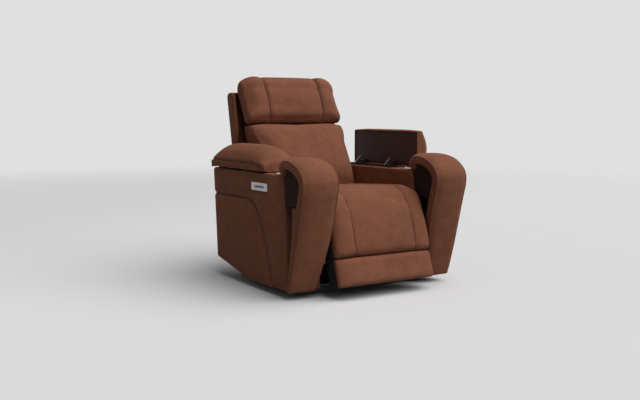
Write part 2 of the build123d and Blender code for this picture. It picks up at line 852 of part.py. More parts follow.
# Console arms: boards, covers, bins, cup holders and wings
for name, side in sides:
    cavity_width = cavity_outer_x - cavity_inner_x - 2 * touch_gap
    cavity_plane = side_plane(side, cavity_inner_x + touch_gap, cavity_outer_x - touch_gap)
    inset = arm_skin + touch_gap
    post = inset + arm_post
    floor_z = bin_floor_z - arm_post

    with BuildPart() as arm_frame:
        for inner in (board_inner_x, cavity_outer_x):
            with BuildSketch(side_plane(side, inner, inner + arm_board)):
                arm_outline(inset, board_top_z - touch_gap, touch_gap)
            extrude(amount=arm_board)
        with BuildSketch(cavity_plane):
            low_z = arm_bottom_z + touch_gap
            high_z = board_top_z - touch_gap
            outline(
                (arm_front(high_z, inset), high_z),
                (arm_front(high_z, post), high_z),
                (arm_front(low_z, post), low_z),
                (arm_front(low_z, inset), low_z),
            )
            outline(
                (arm_front(low_z, post + touch_gap), low_z),
                (arm_heel_y, low_z),
                (arm_heel_y, low_z + arm_post),
                (arm_front(low_z + arm_post, post + touch_gap), low_z + arm_post),
            )
        extrude(amount=cavity_width)
        with BuildSketch(cavity_plane):
            rear_z = arm_rear_bottom_z + touch_gap
            outline(
                (arm_rear(high_z, post), high_z),
                (arm_rear(high_z, inset), high_z),
                (arm_rear(rear_z, inset), rear_z),
                (arm_rear(rear_z, post), rear_z),
            )
            outline(
                (bin_front_y + touch_gap, floor_z),
                (arm_rear(floor_z, post + touch_gap), floor_z),
                (arm_rear(bin_floor_z, post + touch_gap), bin_floor_z),
                (bin_front_y + touch_gap, bin_floor_z),
            )
        extrude(amount=cavity_width)
        with BuildSketch(cavity_plane):
            with Locations((bin_front_y - arm_post / 2, (high_z + floor_z) / 2)):
                Rectangle(arm_post, high_z - floor_z)
        extrude(amount=cavity_width)
        with BuildSketch(cavity_plane):
            deck_z = high_z - arm_board
            cup_edge = cup_radius + cup_wall + sliding_gap
            outline(
                (arm_front(deck_z, post + touch_gap), deck_z),
                (cup_y - cup_edge, deck_z),
                (cup_y - cup_edge, high_z),
                (arm_front(high_z, post + touch_gap), high_z),
            )
            outline(
                (cup_y + cup_edge, deck_z),
                (bin_front_y - arm_post - touch_gap, deck_z),
                (bin_front_y - arm_post - touch_gap, high_z),
                (cup_y + cup_edge, high_z),
            )
        extrude(amount=cavity_width)
        neck_width = arm_outer_x - arm_inner_x - 2 * neck_inset
        with BuildSketch(side_plane(side, arm_inner_x + neck_inset, arm_outer_x - neck_inset)):
            outline(
                (arm_front(arm_top_z, -touch_gap), arm_top_z),
                (arm_front(arm_bottom_z, -touch_gap), arm_bottom_z),
                (neck_front(arm_bottom_z), arm_bottom_z),
                (neck_front(arm_top_z), arm_top_z),
            )
        extrude(amount=neck_width)
    save(arm_frame.part, f"{name}_arm_frame")

    with BuildPart() as arm_cover:
        with BuildSketch(side_plane(side, arm_inner_x, arm_outer_x)):
            arm_outline()
        extrude(amount=arm_outer_x - arm_inner_x)
        corners = arm_cover.edges().filter_by(Axis.X).group_by(Axis.Z)[-1]
        fillet(corners.sort_by(Axis.Y)[-1:], arm_corner_radius)
        fillet(arm_cover.faces().sort_by(Axis.X)[0].edges(), arm_edge_radius)
        fillet(arm_cover.faces().sort_by(Axis.X)[-1].edges(), arm_edge_radius)
        with BuildSketch(side_plane(side, board_inner_x, board_outer_x)):
            arm_outline(arm_skin, board_top_z, -arm_skin)
        extrude(amount=board_outer_x - board_inner_x, mode=Mode.SUBTRACT)
        with BuildSketch(cavity_plane):
            outline(
                (bin_front_y, board_top_z),
                (arm_rear(board_top_z, post), board_top_z),
                (arm_rear(board_top_z, post), arm_top_z + overcut),
                (bin_front_y, arm_top_z + overcut),
            )
        extrude(amount=cavity_width, mode=Mode.SUBTRACT)
        with BuildSketch(Plane.XY.offset(board_top_z)):
            with Locations((side * cup_x, cup_y)):
                Circle(cup_radius + cup_wall + sliding_gap)
        extrude(amount=arm_skin, mode=Mode.SUBTRACT)
        with BuildSketch(side_plane(side, board_outer_x, arm_outer_x)):
            panel_outline(seam_groove)
        extrude(amount=arm_skin, mode=Mode.SUBTRACT)
    save(arm_cover.part, f"{name}_arm_cover")

    with BuildPart() as side_panel:
        with BuildSketch(side_plane(side, board_outer_x + touch_gap, arm_outer_x)):
            panel_outline()
        extrude(amount=arm_skin - touch_gap)
        outer_face = side_panel.faces().sort_by(Axis.X)[-1 if side > 0 else 0]
        fillet(outer_face.edges(), arm_edge_radius / 2)
    save(side_panel.part, f"{name}_side_panel")

    with BuildPart() as storage_bin:
        bin_low_z = bin_floor_z + touch_gap
        wall = bin_wall + touch_gap
        with BuildSketch(cavity_plane):
            outline(
                (bin_front_y + touch_gap, bin_low_z),
                (arm_rear(bin_low_z, post + touch_gap), bin_low_z),
                (arm_rear(board_top_z, post + touch_gap), board_top_z),
                (bin_front_y + touch_gap, board_top_z),
            )
        extrude(amount=cavity_width)
        with BuildSketch(side_plane(side, cavity_inner_x + wall, cavity_outer_x - wall)):
            outline(
                (bin_front_y + wall, bin_low_z + bin_wall),
                (arm_rear(bin_low_z, post + wall), bin_low_z + bin_wall),
                (arm_rear(board_top_z + overcut, post + wall), board_top_z + overcut),
                (bin_front_y + wall, board_top_z + overcut),
            )
        extrude(amount=cavity_width - 2 * bin_wall, mode=Mode.SUBTRACT)
    save(storage_bin.part, f"{name}_storage_bin")

    with BuildPart() as cup_holder:
        cup_plane = Plane(origin=(side * cup_x, cup_y, arm_top_z + touch_gap), x_dir=(1, 0, 0), z_dir=(0, -1, 0))
        with BuildSketch(cup_plane):
            outline(
                (0, -cup_depth),
                (cup_radius + cup_wall - cup_draft, -cup_depth),
                (cup_radius + cup_wall, 0),
                (cup_radius + cup_wall + cup_flange, 0),
                (cup_radius + cup_wall + cup_flange - 1, cup_flange_thickness),
                (cup_radius, cup_flange_thickness),
                (cup_radius - cup_draft, -cup_depth + cup_wall),
                (0, -cup_depth + cup_wall),
            )
        revolve(axis=Axis(cup_plane.origin, (0, 0, 1)))
    save(cup_holder.part, f"{name}_cup_holder")

    with BuildPart() as wing:
        base_z = arm_top_z + touch_gap
        for x, crown in wing_sections():
            pull = wing_edge * (1 - crown)
            roll_end = (wing_rear_y - 3 * pull, wing_top_z - wing_roll_depth - pull)
            with BuildSketch(Plane.YZ.offset(side * x)):
                outline(
                    (wing_bottom_y + pull / 3, arm_bottom_z),
                    (
                        (wing_bottom_y - wing_shin + pull, wing_shin_z),
                        (wing_front_y + wing_chin + pull, wing_chin_z),
                    ),
                    (
                        (wing_front_y + pull, wing_nose_z),
                        (wing_front_y + wing_brow + pull, wing_brow_z - pull),
                    ),
                    (
                        (wing_front_y + wing_rise, wing_top_z - wing_rise_drop - pull),
                        (wing_front_y + wing_summit, wing_top_z - pull),
                    ),
                    ((wing_rear_y - wing_roll - 2 * pull, wing_top_z - wing_roll_drop - pull), roll_end),
                    landing(roll_end, (wing_rear_y - wing_undercut - pull, base_z)),
                    (neck_front(base_z) - touch_gap, base_z),
                    (neck_front(arm_bottom_z) - touch_gap, arm_bottom_z),
                )
        loft()
        with BuildSketch(Plane.XZ):
            outline(
                (side * (arm_inner_x - overcut), wing_taper_z),
                (side * arm_inner_x, wing_taper_z),
                (side * (arm_inner_x + wing_taper), arm_bottom_z),
                (side * (arm_inner_x + wing_taper), arm_bottom_z - overcut),
                (side * (arm_inner_x - overcut), arm_bottom_z - overcut),
            )
        extrude(amount=-wing_front_y + overcut, mode=Mode.SUBTRACT)
    save(wing.part, f"{name}_wing")

with BuildPart() as arm_spacers:
    front_y = rear_tube_y - tube_width / 2
    rear_y = rear_tube_y + tube_width / 2
    for name, side in sides:
        with BuildSketch(side_plane(side, board_inner_x, base_half_width)):
            outline(
                (front_y, tube_top_z + touch_gap),
                (rear_y, tube_top_z + touch_gap),
                (rear_y, arm_bottom(rear_y) - touch_gap),
                (front_y, arm_bottom(front_y) - touch_gap),
            )
        extrude(amount=base_half_width - board_inner_x)
save(arm_spacers.part, "arm_spacers")

# Fixed half of each lid's hinges and the brackets of its stays
for name, side in sides:
    with BuildPart() as hinge_brackets:
        for y in hinge_places:
            half = 1.5 * hinge_knuckle
            with BuildSketch(Plane.XZ.offset(-y - half)):
                outline(
                    (side * (hinge_x - hinge_leaf_width), arm_top_z + touch_gap),
                    (side * hinge_x, arm_top_z + touch_gap),
                    (side * hinge_x, arm_top_z + touch_gap + hinge_leaf),
                    (side * (hinge_x - hinge_leaf_width), arm_top_z + touch_gap + hinge_leaf),
                )
                disc((side * hinge_x, hinge_z), hinge_radius)
            extrude(amount=2 * half)
            middle = hinge_knuckle / 2 + touch_gap
            with BuildSketch(Plane.XZ.offset(-y - middle)):
                disc((side * hinge_x, hinge_z), hinge_radius + sliding_gap)
                disc((side * hinge_x, hinge_z), hinge_pin_radius, Mode.SUBTRACT)
            extrude(amount=2 * middle, mode=Mode.SUBTRACT)
        for y in stay_places:
            bracket_end = cavity_outer_x - bin_wall - 2 * touch_gap
            stay_end = stay_thickness / 2 + sliding_gap
            with BuildSketch(Plane.XZ.offset(-y - stay_end - stay_thickness)):
                outline(
                    (side * bracket_end, stay_z - stay_eye_radius),
                    (side * stay_x, stay_z - stay_eye_radius),
                    (
                        (side * (stay_x - stay_eye_radius), stay_z),
                        (side * stay_x, stay_z + stay_eye_radius),
                    ),
                    (side * bracket_end, stay_z + stay_eye_radius),
                )
            extrude(amount=stay_thickness)
            with BuildSketch(Plane.XZ.offset(-y - stay_end)):
                disc((side * stay_x, stay_z), stay_pin_radius)
            extrude(amount=2 * stay_end)
    save(hinge_brackets.part, f"{name}_hinge_brackets")


def lid_plane(side, front_y, rear_y):
    """Section plane of a lid. It starts at the hinge line, with X inward and Y up from the shut lid."""
    if side < 0:
        return Plane(origin=(-hinge_x, rear_y, hinge_z), x_dir=(1, 0, 0), z_dir=(0, -1, 0))
    return Plane(origin=(hinge_x, front_y, hinge_z), x_dir=(0, 0, 1), z_dir=(0, 1, 0))


# Lids: board, pillow pad, hinge leaves and stays. The left one is shut and the right one open
lid_reach = hinge_x - lid_inner_x
lid_floor = lid_bottom_z - hinge_z
lid_length = lid_rear_y - lid_front_y
board_start = lid_edge
board_end = lid_reach - lid_edge
for name, side in sides:
    with BuildPart() as lid_board:
        with BuildSketch(lid_plane(side, lid_front_y + lid_edge, lid_rear_y - lid_edge)):
            outline(
                (board_start, lid_floor),
                (board_end, lid_floor),
                (board_end, lid_floor + lid_board_thickness),
                (board_start, lid_floor + lid_board_thickness),
            )
        extrude(amount=lid_length - 2 * lid_edge)
    save(lid_board.part, f"{name}_lid_board")

    with BuildPart() as lid_pad:
        for place, crown in lid_sections:
            y = lid_front_y + place * lid_length
            edge_height = lid_side * (0.45 + 0.55 * crown)
            out = lid_overhang * crown
            with BuildSketch(lid_plane(side, y, y)):
                outline(
                    (0, lid_floor),
                    (-out, lid_floor + edge_height),
                    ((lid_reach / 2, lid_floor + lid_crown * crown), (lid_reach, lid_floor + edge_height)),
                    (lid_reach, lid_floor),
                )
        loft()
        pocket = lid_edge - touch_gap
        with BuildSketch(lid_plane(side, lid_front_y + pocket, lid_rear_y - pocket)):
            outline(
                (pocket, lid_floor - overcut),
                (lid_reach - pocket, lid_floor - overcut),
                (lid_reach - pocket, lid_floor + lid_board_thickness + touch_gap),
                (pocket, lid_floor + lid_board_thickness + touch_gap),
            )
        extrude(amount=lid_length - 2 * pocket, mode=Mode.SUBTRACT)
    save(lid_pad.part, f"{name}_lid_pad")

    with BuildPart() as lid_hinges:
        for y in hinge_places:
            half = hinge_knuckle / 2
            leaf_top = lid_floor - touch_gap
            with BuildSketch(lid_plane(side, y - half, y + half)):
                outline(
                    (0, leaf_top - hinge_leaf),
                    (hinge_leaf_width, leaf_top - hinge_leaf),
                    (hinge_leaf_width, leaf_top),
                    (0, leaf_top),
                )
                disc((0, 0), hinge_radius)
                disc((0, 0), hinge_pin_radius + running_gap, Mode.SUBTRACT)
            extrude(amount=hinge_knuckle)
    save(lid_hinges.part, f"{name}_lid_hinges")

    with BuildPart() as lid_stays:
        if side < 0:
            reach = (-stay_x + stay_length, stay_z)
        else:
            reach = (
                stay_x + stay_length * cos(radians(stay_lean)),
                stay_z + stay_length * sin(radians(stay_lean)),
            )
        for y in stay_places:
            with BuildSketch(Plane.XZ.offset(-y - stay_thickness / 2)):
                bone((side * stay_x, stay_z), stay_eye_radius, reach, stay_width / 2)
                disc((side * stay_x, stay_z), stay_pin_radius + running_gap, Mode.SUBTRACT)
            extrude(amount=stay_thickness)
    save(lid_stays.part, f"{name}_lid_stays")

# Back: board, brackets, cushion and the padded outer shell
with BuildPart() as back_panel:
    with BuildSketch(Plane.YZ.offset(-back_half_width)):
        outline(
            (back_line(back_board_bottom_z), back_board_bottom_z),
            (back_line(back_board_bottom_z, back_board), back_board_bottom_z),
            (back_line(back_board_top_z, back_board), back_board_top_z),
            (back_line(back_board_top_z), back_board_top_z),
        )
    extrude(amount=2 * back_half_width)
save(back_panel.part, "back_panel")

with BuildPart() as back_brackets:
    for name, side in sides:
        with BuildSketch(side_plane(side, bracket_x, bracket_x + plate_thickness)):
            low_z = back_board_bottom_z + back_bracket_rise
            high_z = cushion_bottom_z - back_bracket_gap
            outline(
                (back_pivot_y, back_pivot_z - eye_radius),
                (back_line(low_z, -touch_gap), low_z),
                (back_line(high_z, -touch_gap), high_z),
                (back_line(high_z, -back_bracket_depth), high_z),
                (back_pivot_y, back_pivot_z + eye_radius),
            )
            disc(back_pivot, eye_radius)
            with BuildSketch(mode=Mode.PRIVATE) as lever:
                bone(back_pivot, eye_radius, back_pin, link_eye_radius)
            add(lever.sketch)
            disc(back_pivot, pivot_radius + running_gap, Mode.SUBTRACT)
        extrude(amount=plate_thickness)
        with BuildSketch(side_plane(side, link_x - pin_proud, bracket_x)):
            disc(back_pin, link_pin_radius)
        extrude(amount=bracket_x - link_x + pin_proud)
save(back_brackets.part, "back_brackets")

with BuildPart() as back_cushion:
    for x, crown in crowned_sections(cushion_half_width):
        swell = cushion_edge - cushion_crown * crown
        with BuildSketch(Plane.YZ.offset(x)):
            outline(
                (cushion_front_y, cushion_bottom_z),
                (cushion_front_y + cushion_foot, cushion_bottom_z + cushion_foot_rise),
                (
                    (cushion_front_y + cushion_lumbar + swell * 0.6, cushion_bottom_z + cushion_lumbar_rise),
                    (cushion_front_y + cushion_waist + swell, cushion_bottom_z + cushion_waist_rise),
                ),
                (
                    (cushion_front_y + cushion_chest + swell, cushion_bottom_z + cushion_chest_rise),
                    (cushion_front_y + cushion_brow + swell, cushion_top_z - cushion_brow_drop),
                ),
                (
                    (cushion_front_y + cushion_roll + swell * 0.8, cushion_top_z - cushion_roll_drop),
                    (cushion_front_y + cushion_top_step + swell * 0.5, cushion_top_z),
                ),
                (back_line(cushion_top_z, -touch_gap), cushion_top_z),
                (back_line(cushion_bottom_z, -touch_gap), cushion_bottom_z),
            )
    loft()
save(back_cushion.part, "back_cushion")

# The shell's front edge stands clear of the lids as they swing past it
shell_front_step = back_board + touch_gap
swing_top_z = hinge_z + (lid_reach**2 + (lid_floor + lid_side) ** 2) ** 0.5
ledge_front_y = lid_rear_y + lid_swing_gap
with BuildPart() as back_shell:
    with BuildSketch(Plane.YZ.offset(-shell_lower_half_width)):
        outline(
            (back_line(back_board_bottom_z, shell_front_step), back_board_bottom_z),
            (shell_line(back_board_bottom_z), back_board_bottom_z),
            (shell_line(shell_ledge_z + overcut), shell_ledge_z + overcut),
            (back_line(shell_ledge_z + overcut, shell_front_step), shell_ledge_z + overcut),
        )
    extrude(amount=2 * shell_lower_half_width)
    rear_turn = shell_rear_round * round_share
    front_turn = shell_front_round * round_share
    with BuildSketch(Plane.YZ.offset(-shell_half_width)):
        outline(
            (ledge_front_y, shell_ledge_z),
            (shell_line(shell_ledge_z), shell_ledge_z),
            (shell_line(shell_top_z - shell_rear_round), shell_top_z - shell_rear_round),
            (
                (shell_line(shell_top_z, rear_turn), shell_top_z - rear_turn),
                (shell_line(shell_top_z, shell_rear_round), shell_top_z),
            ),
            (shell_line(shell_top_z, shell_depth - shell_front_round), shell_top_z),
            (
                (shell_line(shell_top_z - front_turn, shell_depth - front_turn), shell_top_z - front_turn),
                (shell_line(shell_top_z - shell_front_round, shell_depth), shell_top_z - shell_front_round),
            ),
            (shell_line(swing_top_z, shell_depth), swing_top_z),
        )
    extrude(amount=2 * shell_half_width)
    lower_inner = shell_lower_half_width - shell_wall
    with BuildSketch(Plane.YZ.offset(-lower_inner)):
        floor_z = back_board_bottom_z + shell_wall
        outline(
            (back_line(floor_z, -overcut), floor_z),
            (shell_line(floor_z, shell_wall), floor_z),
            (shell_line(shell_ledge_z + shell_wall, shell_wall), shell_ledge_z + shell_wall),
            (back_line(shell_ledge_z + shell_wall, -cut_past), shell_ledge_z + shell_wall),
        )
    extrude(amount=2 * lower_inner, mode=Mode.SUBTRACT)
    upper_inner = shell_half_width - shell_wall
    with BuildSketch(Plane.YZ.offset(-upper_inner)):
        floor_z = shell_ledge_z + shell_wall
        roof_z = shell_top_z - shell_wall
        outline(
            (back_line(floor_z, -cut_past), floor_z),
            (shell_line(floor_z, shell_wall), floor_z),
            (shell_line(roof_z, shell_wall), roof_z),
            (shell_line(roof_z, shell_lip), roof_z),
            (shell_line(shell_top_z + overcut, shell_lip), shell_top_z + overcut),
            (back_line(shell_top_z, -cut_past), shell_top_z + overcut),
        )
    extrude(amount=2 * upper_inner, mode=Mode.SUBTRACT)
save(back_shell.part, "back_shell")

# Headrest: brackets and gearmotor on the back, arms, board and pad on the headrest
def head_rear(z, step=0):
    """Y of the flat rear of the headrest at a height, moved forward by a step."""
    return head_pivot_y + head_radius + (z - head_pivot_z) * head_lean - step


bracket_step = back_board + touch_gap
foot_z = back_board_top_z - head_bracket_foot
with BuildPart() as headrest_brackets:
    for name, side in sides:
        with BuildSketch(side_plane(side, head_plate_x, head_plate_x + head_plate)):
            outline(
                (back_line(foot_z, bracket_step), foot_z),
                (back_line(back_board_top_z, bracket_step), back_board_top_z),
                (back_line(back_board_top_z, head_bracket_nose), cushion_top_z + head_bracket_rise),
                (head_pivot_y - head_eye_radius / 4, head_pivot_z - head_eye_radius),
                (head_pivot_y + head_eye_radius / 2, head_pivot_z + head_eye_radius * 0.87),
                (back_line(back_board_top_z, head_bracket_width), back_board_top_z + head_bracket_shoulder),
                (back_line(foot_z, head_bracket_width), foot_z),
            )
            disc(head_pivot, head_eye_radius)
            disc(head_pivot, head_pin_radius + running_gap, Mode.SUBTRACT)
        extrude(amount=head_plate)
save(headrest_brackets.part, "headrest_brackets")

head_pin_end = head_plate_x + 2 * head_plate + pin_reach
with BuildPart() as headrest_motor:
    with BuildSketch(Plane.YZ.offset(-head_plate_x + touch_gap)):
        disc(head_pivot, head_motor_radius)
    extrude(amount=head_motor_length)
    with BuildSketch(Plane.YZ.offset(-head_pin_end)):
        disc(head_pivot, head_pin_radius)
    extrude(amount=2 * head_pin_end)
save(headrest_motor.part, "headrest_motor")

head_arm_x = head_plate_x + head_plate + pin_proud
head_arm_top_z = head_board_bottom_z + (head_board_top_z - head_board_bottom_z) * head_arm_share
board_step = head_board + overcut + touch_gap
with BuildPart() as headrest_arms:
    for name, side in sides:
        with BuildSketch(side_plane(side, head_arm_x, head_arm_x + head_plate)):
            outline(
                (head_pivot_y - head_arm_heel / 2, head_pivot_z + head_eye_radius * 0.87),
                (head_pivot_y + head_arm_heel, head_pivot_z - head_arm_heel / 2),
                (head_rear(head_board_bottom_z, board_step), head_board_bottom_z),
                (head_rear(head_arm_top_z, board_step), head_arm_top_z),
                (head_rear(head_arm_top_z, board_step + head_arm_tip), head_arm_top_z),
            )
            disc(head_pivot, head_eye_radius)
            disc(head_pivot, head_pin_radius + running_gap, Mode.SUBTRACT)
        extrude(amount=head_plate)
save(headrest_arms.part, "headrest_arms")

with BuildPart() as headrest_board:
    with BuildSketch(Plane.YZ.offset(-head_board_half_width)):
        outline(
            (head_rear(head_board_bottom_z, overcut), head_board_bottom_z),
            (head_rear(head_board_top_z, overcut), head_board_top_z),
            (head_rear(head_board_top_z, head_board + overcut), head_board_top_z),
            (head_rear(head_board_bottom_z, head_board + overcut), head_board_bottom_z),
        )
    extrude(amount=2 * head_board_half_width)
save(headrest_board.part, "headrest_board")

with BuildPart() as headrest_pad:
    for lobe in lobes(head_half_width, head_seam_x):
        for x, crown in lobe:
            swell = head_edge - head_crown * crown
            top_z = head_top_z - head_drop * (1 - crown)
            shoulder_z = head_shoulder_z - head_drop * (1 - crown)
            belly_z = head_pivot_z + (shoulder_z - head_pivot_z) * head_belly_share
            with BuildSketch(Plane.YZ.offset(x)):
                outline(
                    (head_pivot_y - head_radius, head_pivot_z),
                    (
                        (head_front_y - head_belly + swell, belly_z),
                        (head_front_y + head_brow + swell, shoulder_z),
                    ),
                    ((head_front_y + head_crest, top_z), (head_rear_y, head_edge_z)),
                    (head_pivot_y + head_radius, head_pivot_z),
                    ((head_pivot_y, head_pivot_z - head_radius), (head_pivot_y - head_radius, head_pivot_z)),
                )
        loft()
    for name, side in sides:
        slot_end = head_arm_x + head_plate + pin_proud
        slot_front_y = head_pivot_y - head_eye_radius - head_slot_gap
        slot_low_z = head_pivot_z - head_radius - head_slot_gap
        slot_rear_y = head_rear(head_pivot_z, -cut_past)
        with BuildSketch(side_plane(side, head_plate_x - pin_proud, slot_end)):
            outline(
                (slot_front_y, slot_low_z),
                (slot_rear_y, slot_low_z),
                (slot_rear_y, head_pivot_z + head_slot_rise),
                (slot_front_y, head_pivot_z + head_eye_radius + 2 * head_slot_gap),
            )
        extrude(amount=slot_end - head_plate_x + pin_proud, mode=Mode.SUBTRACT)
        slot_top_z = head_arm_top_z + head_slot_lift
        with BuildSketch(side_plane(side, head_arm_x - pin_proud, slot_end)):
            outline(
                (head_pivot_y - head_slot_lift, head_pivot_z + head_slot_lift),
                (head_rear(head_pivot_z, -head_slot_lift), head_pivot_z + head_slot_lift),
                (head_rear(slot_top_z, head_board / 2), slot_top_z),
                (head_rear(slot_top_z, head_board + head_slot_depth), slot_top_z),
            )
        extrude(amount=slot_end - head_arm_x + pin_proud, mode=Mode.SUBTRACT)
    with BuildSketch(Plane.YZ.offset(-head_plate_x)):
        disc(head_pivot, head_motor_radius + head_slot_gap)
    extrude(amount=head_motor_length + 2 * head_slot_gap, mode=Mode.SUBTRACT)
    with BuildSketch(Plane.YZ.offset(-head_pin_end)):
        disc(head_pivot, head_pin_radius + head_slot_gap)
    extrude(amount=2 * head_pin_end, mode=Mode.SUBTRACT)
    with BuildSketch(Plane.YZ.offset(-head_board_half_width - touch_gap)):
        low_z = head_board_bottom_z - touch_gap
        high_z = head_board_top_z + touch_gap
        outline(
            (head_rear(low_z, -head_board / 2), low_z),
            (head_rear(high_z, -head_board / 2), high_z),
            (head_rear(head_board_top_z, board_step), high_z),
            (head_rear(head_board_bottom_z, board_step), low_z),
        )
    extrude(amount=2 * (head_board_half_width + touch_gap), mode=Mode.SUBTRACT)
save(headrest_pad.part, "headrest_pad")

# Control plate and its buttons
panel_y = panel_rear_y - panel_length / 2
panel_z = panel_bottom_z + panel_height / 2
button_places = [panel_y + (place - (button_count - 1) / 2) * button_pitch for place in range(button_count)]
plate_outer_x = arm_outer_x + touch_gap + panel_thickness
with BuildPart() as control_plate:
    with BuildSketch(Plane.YZ.offset(-plate_outer_x)):
        with Locations((panel_y, panel_z)):
            RectangleRounded(panel_length, panel_height, panel_corner)
        with Locations([(y, panel_z) for y in button_places]):
            RectangleRounded(
                button_length + 2 * sliding_gap,
                button_height + 2 * sliding_gap,
                button_corner + sliding_gap,
                mode=Mode.SUBTRACT,
            )
    extrude(amount=panel_thickness)
save(control_plate.part, "control_plate")

for place, y in enumerate(button_places):
    with BuildPart() as button:
        with BuildSketch(Plane.YZ.offset(-plate_outer_x - button_proud)):
            with Locations((y, panel_z)):
                RectangleRounded(button_length, button_height, button_corner)
        extrude(amount=button_thickness)
        fillet(button.faces().sort_by(Axis.X)[0].edges(), 0.8)
    save(button.part, f"button_{place + 1}")
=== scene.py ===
"""Looks of the power recliner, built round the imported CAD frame.

Metres, and degrees where an angle is a plain number. The chair faces -Y and +Z is up. Left is -X, as seen
when facing the chair.
"""

import json
import math

import bmesh
import bpy
import numpy as np
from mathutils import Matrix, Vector
from mathutils.bvhtree import BVHTree


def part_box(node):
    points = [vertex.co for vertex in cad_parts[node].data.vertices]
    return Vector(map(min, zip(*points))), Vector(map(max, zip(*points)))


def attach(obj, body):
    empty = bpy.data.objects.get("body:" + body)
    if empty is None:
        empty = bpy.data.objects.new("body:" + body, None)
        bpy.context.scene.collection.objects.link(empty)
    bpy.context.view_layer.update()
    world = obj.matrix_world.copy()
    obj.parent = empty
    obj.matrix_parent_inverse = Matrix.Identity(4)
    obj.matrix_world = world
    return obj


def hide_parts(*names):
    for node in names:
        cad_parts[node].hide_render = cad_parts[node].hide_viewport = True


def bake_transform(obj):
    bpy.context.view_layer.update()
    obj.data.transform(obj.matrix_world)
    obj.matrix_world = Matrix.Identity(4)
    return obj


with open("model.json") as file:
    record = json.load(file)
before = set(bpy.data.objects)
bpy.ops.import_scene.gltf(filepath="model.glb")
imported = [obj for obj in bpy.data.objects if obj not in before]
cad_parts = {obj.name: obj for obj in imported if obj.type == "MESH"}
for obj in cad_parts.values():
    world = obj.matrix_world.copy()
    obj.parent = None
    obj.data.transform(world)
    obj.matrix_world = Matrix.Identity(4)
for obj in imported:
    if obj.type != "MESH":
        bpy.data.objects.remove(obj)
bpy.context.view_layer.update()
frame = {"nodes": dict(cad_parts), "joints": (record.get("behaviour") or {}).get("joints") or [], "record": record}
nodes = frame["nodes"]
hinges = {joint["name"]: np.array(joint["pos_m"]) for joint in frame["joints"] if joint["type"] == "hinge"}
scene = bpy.context.scene
SIDES = (("left", -1), ("right", 1))
XZ, YZ = [0, 2], [1, 2]


# Meshes
SAME_PLACE = 1e-6
CLOTH_FRAMES = 16
SINK_LIMIT = 0.001
EVEN_ROUNDS = 12
PUCKER_PITCH = 0.019
PUCKER_REACH = 2.2


def read_vectors(items, field):
    """One vector of each item as an array."""
    flat = np.empty(len(items) * 3, np.float32)
    items.foreach_get(field, flat)
    return flat.reshape(-1, 3).astype(float)


def points(piece):
    """The piece's vertices as an array."""
    return read_vectors(piece.data.vertices, "co")


def normals(piece):
    """The piece's vertex normals as an array."""
    return read_vectors(piece.data.vertex_normals, "vector")


def set_points(piece, places):
    """Moves the piece's vertices."""
    piece.data.vertices.foreach_set("co", places.astype(np.float32).ravel())
    piece.data.update()


def bake(piece):
    """Applies the piece's modifiers to its mesh."""
    graph = bpy.context.evaluated_depsgraph_get()
    mesh = bpy.data.meshes.new_from_object(piece.evaluated_get(graph))
    piece.modifiers.clear()
    piece.data = mesh
    return piece


def new_piece(name, data):
    """A new object in the scene."""
    piece = bpy.data.objects.new(name, data)
    scene.collection.objects.link(piece)
    return piece


def mesh_piece(name, work):
    """A new object in the scene from a finished bmesh."""
    mesh = bpy.data.meshes.new(name)
    work.to_mesh(mesh)
    work.free()
    return new_piece(name, mesh)


def remesh(piece, voxel):
    """Gives the piece an even mesh."""
    even = piece.modifiers.new("remesh", "REMESH")
    even.mode = "VOXEL"
    even.voxel_size = voxel
    return bake(piece)


def soft_copy(name, sources, voxel, shape=None):
    """One even mesh round copies of CAD solids, each first reshaped where a shape is given."""
    work = bmesh.new()
    for source in sources:
        solid = nodes[source].data.copy()
        if shape:
            holder = bpy.data.objects.new(source + "_copy", solid)
            set_points(holder, shape(source, points(holder), normals(holder)))
            bpy.data.objects.remove(holder)
        work.from_mesh(solid)
        bpy.data.meshes.remove(solid)
    bmesh.ops.remove_doubles(work, verts=work.verts, dist=SAME_PLACE)
    return remesh(mesh_piece(name, work), voxel)


def smooth(piece, rounds):
    """Evens out the steps that the remesh leaves."""
    relax = piece.modifiers.new("relax", "SMOOTH")
    relax.iterations = rounds
    relax.factor = 0.5
    return bake(piece)


def subdivide(piece):
    """One level of subdivision."""
    piece.modifiers.new("finer", "SUBSURF").levels = 1
    return bake(piece)


def even_out(piece, lift):
    """Evens out the lift of each vertex with that of its neighbours."""
    ends = np.empty(len(piece.data.edges) * 2, np.int32)
    piece.data.edges.foreach_get("vertices", ends)
    first, second = ends.reshape(-1, 2).T
    size = len(lift)
    shared = np.bincount(ends, minlength=size)
    for _ in range(EVEN_ROUNDS):
        around = np.bincount(first, lift[second], size) + np.bincount(second, lift[first], size)
        lift = (lift + around / shared) / 2
    return lift


def inflate(piece, cap, pressure):
    """Swells a cushion by cloth simulation. A point moves along its normal, out to a cap, in by little."""
    rest = points(piece)
    out = normals(piece)
    cloth = piece.modifiers.new("cloth", "CLOTH")
    settings = cloth.settings
    settings.quality = 4
    settings.mass = 0.3
    settings.tension_stiffness = 12
    settings.compression_stiffness = 12
    settings.shear_stiffness = 4
    settings.bending_stiffness = 0.8
    settings.use_pressure = True
    settings.uniform_pressure_force = pressure
    settings.effector_weights.gravity = 0
    cloth.point_cache.frame_start = 1
    cloth.point_cache.frame_end = CLOTH_FRAMES
    for step in range(1, CLOTH_FRAMES + 1):
        scene.frame_set(step)
    graph = bpy.context.evaluated_depsgraph_get()
    moved = points(piece.evaluated_get(graph))
    piece.modifiers.clear()
    scene.frame_set(1)
    lift = np.clip(((moved - rest) * out).sum(axis=1), -SINK_LIMIT, cap)
    set_points(piece, rest + out * even_out(piece, lift)[:, None])
    return piece


